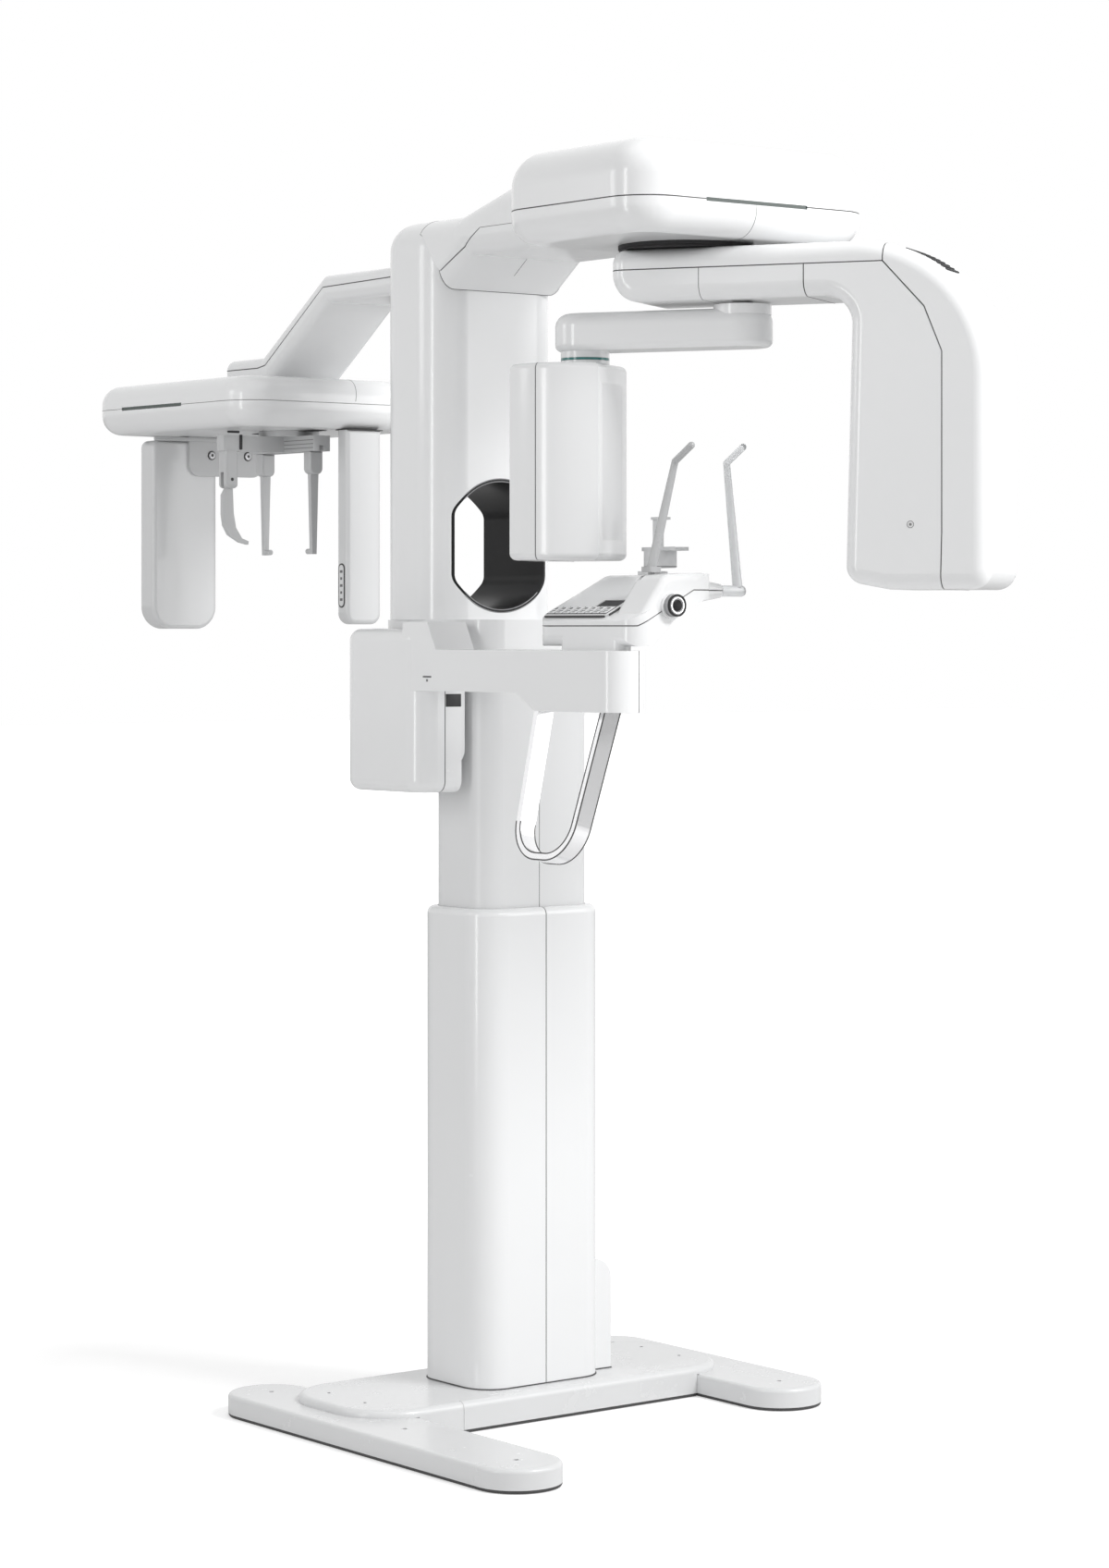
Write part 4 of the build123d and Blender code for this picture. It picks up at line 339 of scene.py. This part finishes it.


# Dark cords: a fine cord laid in each gap between covers as a seam, following the covers' own edges; a few cords
# are painted shadow or painted dark reflection instead.
def cad_copy(name):
    node_object = frame["nodes"][name]
    form = bmesh.new()
    form.from_mesh(node_object.data)
    bmesh.ops.transform(form, matrix=node_object.matrix_world, verts=form.verts)
    bmesh.ops.remove_doubles(form, verts=form.verts, dist=0.01 * MM)
    return form


def walk(edges):
    left, runs = set(edges), []
    while left:
        run = list(left.pop().verts)
        for _ in range(2):
            while True:
                onward = next((e for e in run[-1].link_edges if e in left), None)
                if onward is None:
                    break
                left.discard(onward)
                run.append(onward.other_vert(run[-1]))
            run.reverse()
        runs.append(run)
    return runs


def run_length(run):
    return sum((a.co - b.co).length for a, b in zip(run, run[1:])) / MM


def lay_cord(name, body, form, edges, radius, sink, shortest, material, drop=0.0):
    runs = [run for run in walk(edges) if run_length(run) > shortest]
    if not runs:
        form.free()
        raise SystemExit("no seam found for " + name)
    curve = bpy.data.curves.new(name, "CURVE")
    curve.dimensions = "3D"
    curve.bevel_depth = radius * MM
    curve.bevel_resolution = 1
    curve.use_fill_caps = True
    for run in runs:
        closed = run[0] is run[-1]
        points = run[:-1] if closed else run
        spline = curve.splines.new("POLY")
        spline.points.add(len(points) - 1)
        for place, vert in zip(spline.points, points):
            place.co = (*(vert.co - vert.normal * sink * MM - Vector((0, 0, drop * MM))), 1)
        spline.use_cyclic_u = closed
    form.free()
    holder = bpy.data.objects.new(name + "_run", curve)
    mesh = bpy.data.meshes.new_from_object(holder)
    mesh.name = name
    bpy.data.objects.remove(holder)
    finish_piece(name, mesh, body, material, 60)


# A cord on the sharp rim of a cover, mostly where it meets its neighbour; where() tells which points are on the
# cord.
def rim_cord(name, body, node_name, where, radius=0.75, sink=0.5, shortest=20.0, material=None):
    form = cad_copy(node_name)
    form.normal_update()
    edges = [e for e in form.edges
             if len(e.link_faces) == 2 and all(where(*(v.co / MM)) for v in e.verts)
             and e.calc_face_angle(0.0) > 0.45]
    lay_cord(name, body, form, edges, radius, sink, shortest, material or seam_and_shadow_dark)


# A cord on the cut of a plane through one cover, for a seam moulded into it or for a painted shadow line; where()
# keeps the part that shows.
def cut_cord(name, body, node_name, point, normal, where=None, radius=0.7, sink=0.4, shortest=20.0,
             material=None, drop=0.0):
    form = cad_copy(node_name)
    cut = bmesh.ops.bisect_plane(form, geom=form.verts[:] + form.edges[:] + form.faces[:], dist=0.001 * MM,
                                 plane_co=Vector(point) * MM, plane_no=normal, clear_outer=True)["geom_cut"]
    edges = [g for g in cut if isinstance(g, bmesh.types.BMEdge)]
    if where:
        edges = [e for e in edges if all(where(*(v.co / MM)) for v in e.verts)]
    form.normal_update()
    lay_cord(name, body, form, edges, radius, sink, shortest, material or seam_and_shadow_dark, drop)


def near_line(u, z, points, reach=0.12):
    here = Vector((u, z))
    for start, end in zip(points, points[1:]):
        a, b = Vector(start), Vector(end)
        along = min(1.0, max(0.0, (here - a).dot(b - a) / (b - a).length_squared))
        if (here - a - along * (b - a)).length < reach:
            return True
    return False


# The rotating arm lies at an angle: t runs out along it, w across it.
GANTRY_ALONG = Vector((0.5, -math.sqrt(0.75), 0))
GANTRY_ACROSS = Vector((math.sqrt(0.75), 0.5, 0))
GANTRY_AXIS = Vector((0, -454, 0))


def gantry_spot(t, w, z):
    return GANTRY_AXIS + GANTRY_ALONG * t + GANTRY_ACROSS * w + Vector((0, 0, z))


def gantry_t(x, y):
    return (Vector((x, y, 0)) - GANTRY_AXIS).dot(GANTRY_ALONG)


def lay_seam_and_shadow_cords():
    carriage = "lift_carriage"
    rim_cord("housing_seam", carriage, "housing_top_cover", lambda x, y, z: abs(z - 1957.4) < 0.1)
    rim_cord("beam_seam", carriage, "beam_under_cover",
             lambda x, y, z: -271 < y and near_line(y, z, ((-300, 1956.6), (-85, 1956.6), (25, 1894.6)), 0.3))
    rim_cord("column_head_seam", carriage, "upper_column",
             lambda x, y, z: 24 < y < 92 and z > 1894 and abs(x) < 130.9 or (24 < y < 92 and z > 1894),
             shortest=40)
    cut_cord("housing_underside_seam", carriage, "housing_under_cover", (-10, -636, 1940), (1, 0, -0.06),
             lambda x, y, z: y < -585 and z < 1956)
    rim_cord("gantry_side_seam", "gantry", "gantry_top_cover", lambda x, y, z: abs(z - 1862.4) < 0.1)
    rim_cord("gantry_under_seam", "gantry", "gantry_under_cover",
             lambda x, y, z: abs(gantry_t(x, y) - 225.6) < 0.1)
    cut_cord("gantry_rear_seam", "gantry", "gantry_under_cover", gantry_spot(54, 0, 0), GANTRY_ALONG,
             lambda x, y, z: z > 1812)
    tube_line = ((352.4, 2000), (352.4, 1862.4), (418.4, 1791.4), (446.4, 1722), (446.4, 1447), (410.4, 0))
    rim_cord("tube_head_seam", "gantry", "tube_head_outer_cover",
             lambda x, y, z: near_line(gantry_t(x, y), z, tube_line, 0.4))
    rim_cord("sensor_head_seam", "sensor_head", "sensor_front_cover",
             lambda x, y, z: abs(gantry_t(x, y) + 221.6) < 0.15)
    arm_line = ((208, 1902.4), (442, 1898.4), (624, 1771.4), (648, 1767.4), (900, 1767.4))
    rim_cord("skull_arm_seam", carriage, "skull_arm_upper_cover", lambda x, y, z: near_line(y, z, arm_line, 0.4))
    rim_cord("skull_head_seam", carriage, "skull_head_upper_cover", lambda x, y, z: abs(z - 1700.4) < 0.1, sink=1.0)
    cut_cord("skull_head_end_seam", carriage, "skull_head_upper_cover", (26, 488, 1720), (1, 0, -0.15),
             lambda x, y, z: y < 560 and z > 1702)
    rim_cord("box_seam", carriage, "box_front_cover", lambda x, y, z: abs(x + 171.4) < 0.1)
    rim_cord("arm_cap_seam", carriage, "arm_end_cap",
             lambda x, y, z: abs(x + 171.6) < 0.1 or abs(y + 360.4) < 0.1)
    console_line = ((-200, 1304.4), (-165, 1304.4), (-57, 1360.4), (60, 1360.4))
    rim_cord("console_seam", carriage, "console_upper_cover",
             lambda x, y, z: near_line(x, z, console_line, 0.3), shortest=60)
    rim_cord("lower_column_seam", "base", "lower_cover_left", lambda x, y, z: abs(x + 0.4) < 0.1)
    cut_cord("inner_column_seam", carriage, "inner_column", (0, 0, 0), (1, 0, 0), lambda x, y, z: y < -75.5)
    cut_cord("cross_cover_seam", "base", "cross_cover", (-202, 0, 0), (1, 0, 0),
             lambda x, y, z: y < -120 and z < 52)
    # A wide dark cord at the foot of the column covers and the inlet box: the joint with the cross cover, drawn
    # wide as painted shade under the covers' edge.
    for side, node_name in (("left", "lower_cover_left"), ("right", "lower_cover_right"), ("inlet", "inlet_box")):
        rim_cord("foot_joint_shade_" + side, "base", node_name, lambda x, y, z: z < 51.1, radius=2.0, sink=0.2)
    rim_cord("beam_root_line", carriage, "beam_under_cover", lambda x, y, z: y > 27.9)
    cut_cord("beam_middle_seam", carriage, "beam_under_cover", (0, 0, 0), (1, 0, 0),
             lambda x, y, z: -95 < y < 27.8 and z < 1954)
    # A dark cord under the edge of each foot and the cross cover, dropped into the gap above the floor: painted
    # shadow under the base.
    for side, node_name in (("left", "foot_left"), ("right", "foot_right"), ("cross", "cross_cover")):
        cut_cord("contact_shadow_" + side, "base", node_name, (0, 0, 9), (0, 0, 1), radius=2.6, sink=3.0, drop=5.8)
    rim_cord("window_trim", carriage, "window_liner", lambda x, y, z: y < 28.4, radius=0.9, sink=0.2,
             material=finishes["grey_metal"], shortest=5)
    # Dark cords along the lower edges of the flat handle: painted dark reflection, to make the band look like a
    # rounded polished rod.
    rim_cord("handle_dark_reflection_lines", carriage, "grab_handle", lambda x, y, z: z < 1171, radius=1.2, sink=0.4,
             material=seam_and_shadow_dark, shortest=60)
    cut_cord("chin_cup_line", "chin_rest", "chin_rest", (0, 0, 1399.0), (0, 0, 1), radius=0.8, sink=0.3,
             material=groove_grey)


# Vent: near-black fills in the slots of the grille on the tube head's shoulder, painted shade for the dark inside
# of the slots.
def make_vent_slot_shade():
    form = bmesh.new()
    middle = gantry_spot(307, 0, 1683) * MM
    for index in range(9):
        low = math.radians(50 + (index + 1) * 2.4 - 0.41)
        inner, outer = ((GANTRY_ALONG * math.cos(low) + Vector((0, 0, math.sin(low)))) * radius * MM + middle
                        for radius in (210.2, 214.3))
        side = GANTRY_ACROSS * 33.8 * MM
        corners = [form.verts.new(p) for p in (outer - side, outer + side, inner + side, inner - side)]
        end = form.faces.new(corners)
        bmesh.ops.spin(form, geom=[end, *end.edges, *corners], cent=middle, axis=-GANTRY_ACROSS,
                       angle=math.radians(0.82), steps=2)
    make_piece("vent_slot_shade", form, "gantry", painted_shade_black)


# Keypad on the sloping panel: keys in one row, each with its marks, over a dark bed.
PANEL_UP = Vector((1, 0, 0.4933)).normalized()
KEYS = 8
KEY_PITCH = 18.9


def make_keypad():
    panel = spot((-180, 0, 1312), (0, -1, 0), PANEL_UP)
    bed = bmesh.new()
    add_block(bed, panel, (384, 29.5, 4.1), (KEYS * KEY_PITCH, 25, 0.4))
    add_block(bed, panel, (384, 12.6, 1.7), (151, 2.4, 3.4), 0.8)
    add_block(bed, panel, (465.2, 31, 1.7), (2.0, 26, 3.4), 0.8)
    make_piece("key_bed", bed, "lift_carriage", seam_and_shadow_dark)
    keys, marks = bmesh.new(), bmesh.new()
    for index in range(KEYS):
        across = 384 + (index - (KEYS - 1) / 2) * KEY_PITCH
        add_block(keys, panel, (across, 29.5, 4.8), (KEY_PITCH - 3.4, 21.5, 1.4), 0.6)
        add_disc(marks, panel @ Matrix.Translation((across - 1.5, 34.5, 5.4)), 3.2, 0.25, segments=20)
        add_block(marks, panel, (across + 0.5, 26.4, 5.5), (9.0, 2.4, 0.25))
        add_block(marks, panel, (across - 0.8, 21.8, 5.5), (6.0, 2.2, 0.25))
    make_piece("keys", keys, "lift_carriage", finishes["keypad_white"])
    make_piece("key_marks", marks, "lift_carriage", mark_grey)


# Knob: dark outer ring, bright inner ring and a dark glossy cap; a collar stands behind it.
def make_knob():
    face = spot((-103, -557.3, 1336))
    dark, bright = bmesh.new(), bmesh.new()
    add_hoop(dark, face, 17.4, 14.6, -3.0, 0.6)
    add_disc(dark, face, 9.0, 1.6, 1.2)
    make_piece("knob_rings", dark, "temple_knob", liner_dark)
    add_hoop(bright, face, 12.8, 11.4, -0.2, 1.2)
    make_piece("knob_bright_ring", bright, "temple_knob", finishes["polished_metal"])
    collar = bmesh.new()
    add_hoop(collar, spot((-103, -542, 1336)), 20.5, 17.6, -0.5, 4.0)
    make_piece("knob_collar", collar, "lift_carriage", finishes["white_cover"])
    ring = bmesh.new()
    add_hoop(ring, spot((45.4, -480, 1360), (0, 1, 0)), 9.7, 8.4, 0.0, 1.8)
    make_piece("hub_ring", ring, "temple_rod_right", groove_grey)


# Fasteners, pins and small marks.
def add_socket_screw(form, dark, place, radius):
    # A dark ring round the screw head and a dark hex in its top: painted shade of the recess and the socket.
    add_disc(form, place, radius, 3.0, 1.0)
    add_hoop(dark, place, radius + 1.4, radius + 0.1, -0.1, 0.7)
    add_disc(dark, place @ Matrix.Translation((0, 0, 2.7)), radius * 0.45, 0.6, segments=6)


def make_small_parts():
    screws, dark = bmesh.new(), bmesh.new()
    for x in (-7.7, 72.4):
        add_socket_screw(screws, dark, spot((x, 909, 1622)), 7.2)
    make_piece("bracket_screws", screws, "skull_detector", screw_steel)
    make_piece("bracket_screw_shades", dark, "skull_detector", seam_and_shadow_dark)

    caps = bmesh.new()
    for x, ys in ((-361.5, (-485, -195, 182)), (361.5, (-266, 179))):
        for y in ys:
            add_disc(caps, spot((x, y, 33.5), (1, 0, 0), (0, 1, 0)), 4.1, 3.2, 0.8, 24)
    make_piece("foot_bolts", caps, "base", mark_grey)
    dots = bmesh.new()
    for x, y, z in ((330, -42, 51), (-330, -42, 51), (330, 60, 51), (-330, 60, 51)):
        add_disc(dots, spot((x, y, z - 0.4), (1, 0, 0), (0, 1, 0)), 2.6, 0.8, 0.2, 20)
    make_piece("cover_screws", dots, "base", mark_grey)

    hinge = bmesh.new()
    for w, across in ((-90, GANTRY_ALONG), (90, -GANTRY_ALONG)):
        place = spot(gantry_spot(397, w, 1459), across)
        add_hoop(hinge, place, 5.6, 4.7, -0.3, 0.3, 32)
        add_disc(hinge, place, 2.2, 0.5, 0.2, 20)
    make_piece("tube_head_pins", hinge, "gantry", groove_grey)

    pin = bmesh.new()
    add_disc(pin, spot((-131, 651, 1567)), 3.0, 0.8, 0.3, 24)
    add_disc(pin, spot((-131, 677, 1567), (-1, 0, 0)), 3.0, 0.8, 0.3, 24)
    make_piece("nasion_pin", pin, "ear_turntable", seam_and_shadow_dark)

    latch = bmesh.new()
    add_block(latch, spot((-112, 652, 1634)), (0, 0, 0), (4.5, 27, 5), 1.2)
    add_block(latch, spot((-128, 652, 1652)), (0, 0, 0), (24, 4.0, 5), 1.2)
    make_piece("nasion_latch", latch, "ear_turntable", finishes["dark_matte"])

    ribs = bmesh.new()
    for x, across in ((-18, (0, -1, 0)), (18, (0, 1, 0))):
        for height in (1624, 1631, 1638):
            add_block(ribs, spot((x, 664, height), across), (0, 0, 0), (206, 1.2, 0.6))
    make_piece("rail_grooves", ribs, "ear_turntable", groove_grey)

    mark = bmesh.new()
    add_block(mark, spot((-222, -64, 1222), (0, -1, 0)), (0, 0, 0), (23, 3.0, 0.6), 0.2)
    add_block(mark, spot((-222, -64, 1216), (0, -1, 0)), (0, 0, 0), (5, 4.0, 0.6), 0.2)
    make_piece("arm_mark", mark, "lift_carriage", mark_grey)

    slit = bmesh.new()
    add_block(slit, spot((-1.5, -392.2, 1452)), (0, 0, 0), (2.6, 34, 0.8), 0.3)
    make_piece("bite_post_slit", slit, "chin_rest", groove_grey)

    # A dark strip on the rail under the ceph head: painted shadow in the gap under the head.
    gap = bmesh.new()
    add_block(gap, spot((0, 664, 1655.2)), (0, 0, 0), (30, 0.8, 196))
    make_piece("rail_gap_shadow", gap, "ear_turntable", seam_and_shadow_dark)
    # A dark plate between collimator and head, a little larger than the collimator: painted shadow in the gap
    # between them.
    gap_shadow_plate = bmesh.new()
    add_block(gap_shadow_plate, spot((51, 516, 1654.9)), (0, 0, 0), (79, 1.6, 35), 0.4)
    make_piece("collimator_gap_shadow", gap_shadow_plate, "skull_collimator", seam_and_shadow_dark)

    plug = bmesh.new()
    add_block(plug, spot((-154.5, -45, 1182.5)), (0, 0, 0), (31, 21, 1.0), 0.4)
    make_piece("socket_frame", plug, "lift_carriage", finishes["dark_matte"])

    track = bmesh.new()
    add_block(track, spot((-13, 911, 1650.5)), (0, 0, 0), (236, 7.5, 7), 1.5)
    make_piece("detector_ledge", track, "skull_detector", finishes["grey_plastic"])


# Key plate on the side of the collimator: a dark rim, a pale plate and five marks.
def make_key_plate():
    side = spot((13, 516, 1377), (0, -1, 0))
    rim, plate, marks = bmesh.new(), bmesh.new(), bmesh.new()
    add_rounded_plate(rim, side, 19.5, 79, 9.5, 0.7)
    add_rounded_plate(plate, side, 14, 73.5, 6.8, 1.1)
    for index in range(5):
        add_block(marks, side, (0, (index - 2) * 12.5, 1.15), (5.5 if index % 2 else 8.0, 4.6, 0.3))
    make_piece("key_plate_rim", rim, "skull_collimator", seam_and_shadow_dark)
    make_piece("key_plate", plate, "skull_collimator", finishes["keypad_white"])
    make_piece("key_plate_marks", marks, "skull_collimator", mark_grey)


# A plain white room: the floor takes the object's shadow, and the far ground and sky are white.
def make_room():
    mesh = bpy.data.meshes.new("floor")
    form = bmesh.new()
    bmesh.ops.create_grid(form, x_segments=2, y_segments=2, size=40)
    form.to_mesh(mesh)
    form.free()
    floor = bpy.data.objects.new("floor", mesh)
    scene.collection.objects.link(floor)
    material = new_material("white_floor")
    tree = material.node_tree
    shader = node(tree, "ShaderNodeBsdfPrincipled")
    shader.inputs["Base Color"].default_value = (0.8, 0.8, 0.8, 1)
    shader.inputs["Roughness"].default_value = 0.9
    shader.inputs["Specular IOR Level"].default_value = 0.1
    shader.inputs["Emission Color"].default_value = (1, 1, 1, 1)
    light = node(tree, "ShaderNodeLightPath")
    seen = node(tree, "ShaderNodeMath", operation="MAXIMUM")
    join(tree, light.outputs["Is Camera Ray"], seen.inputs[0])
    join(tree, light.outputs["Is Transmission Ray"], seen.inputs[1])
    strength = node(tree, "ShaderNodeMath", operation="MULTIPLY")
    place = node(tree, "ShaderNodeTexCoord")
    away = node(tree, "ShaderNodeVectorMath", operation="LENGTH")
    join(tree, place.outputs["Object"], away.inputs[0])
    whiten = node(tree, "ShaderNodeMapRange")
    whiten.inputs["From Min"].default_value = 0.9
    whiten.inputs["From Max"].default_value = 2.4
    whiten.inputs["To Min"].default_value = 0.45
    whiten.inputs["To Max"].default_value = 1.0
    join(tree, away.outputs["Value"], whiten.inputs["Value"])
    join(tree, whiten.outputs["Result"], strength.inputs[1])
    join(tree, seen.outputs["Value"], strength.inputs[0])
    join(tree, strength.outputs["Value"], shader.inputs["Emission Strength"])
    output = node(tree, "ShaderNodeOutputMaterial")
    join(tree, shader.outputs["BSDF"], output.inputs["Surface"])
    mesh.materials.append(material)
    world = bpy.data.worlds.new("room")
    scene.world = world
    world.use_nodes = True
    tree = world.node_tree
    tree.nodes.clear()
    light = node(tree, "ShaderNodeLightPath")
    seen = node(tree, "ShaderNodeMath", operation="MAXIMUM")
    either = node(tree, "ShaderNodeMath", operation="MAXIMUM")
    join(tree, light.outputs["Is Camera Ray"], seen.inputs[0])
    join(tree, light.outputs["Is Transmission Ray"], seen.inputs[1])
    join(tree, seen.outputs["Value"], either.inputs[0])
    join(tree, light.outputs["Is Glossy Ray"], either.inputs[1])
    level = node(tree, "ShaderNodeMapRange")
    level.inputs["To Min"].default_value = 0.42
    level.inputs["To Max"].default_value = 1.0
    join(tree, either.outputs["Value"], level.inputs["Value"])
    sky = node(tree, "ShaderNodeBackground")
    sky.inputs["Color"].default_value = (1, 1, 1, 1)
    join(tree, level.outputs["Result"], sky.inputs["Strength"])
    output = node(tree, "ShaderNodeOutputWorld")
    join(tree, sky.outputs["Background"], output.inputs["Surface"])


def soft_lamp(name, place, aim, size, power):
    data = bpy.data.lights.new(name, "AREA")
    data.shape = "RECTANGLE"
    data.size, data.size_y = size
    data.energy = power
    lamp = bpy.data.objects.new(name, data)
    lamp.location = place
    lamp.rotation_euler = (Vector(aim) - Vector(place)).to_track_quat("-Z", "Y").to_euler()
    scene.collection.objects.link(lamp)


def place_lamps():
    soft_lamp("front_high", (1.45, -4.1, 4.2), (0, -0.3, 1.2), (1.8, 1.6), 178)
    soft_lamp("right_near", (1.9, -2.3, 1.9), (0.1, -0.5, 1.4), (1.2, 1.8), 17)
    soft_lamp("overhead", (-0.4, -1.0, 4.4), (0, 0, 1.0), (3.0, 3.0), 18)
    soft_lamp("left_strip", (-4.2, -0.4, 1.7), (0, 0, 1.3), (0.5, 3.0), 34)
    soft_lamp("left_back", (-2.6, 1.6, 2.3), (-0.2, 0.7, 1.7), (0.9, 0.9), 7)


lay_seam_and_shadow_cords()
make_vent_slot_shade()
make_keypad()
make_knob()
make_small_parts()
make_key_plate()
place_camera()
make_room()
place_lamps()
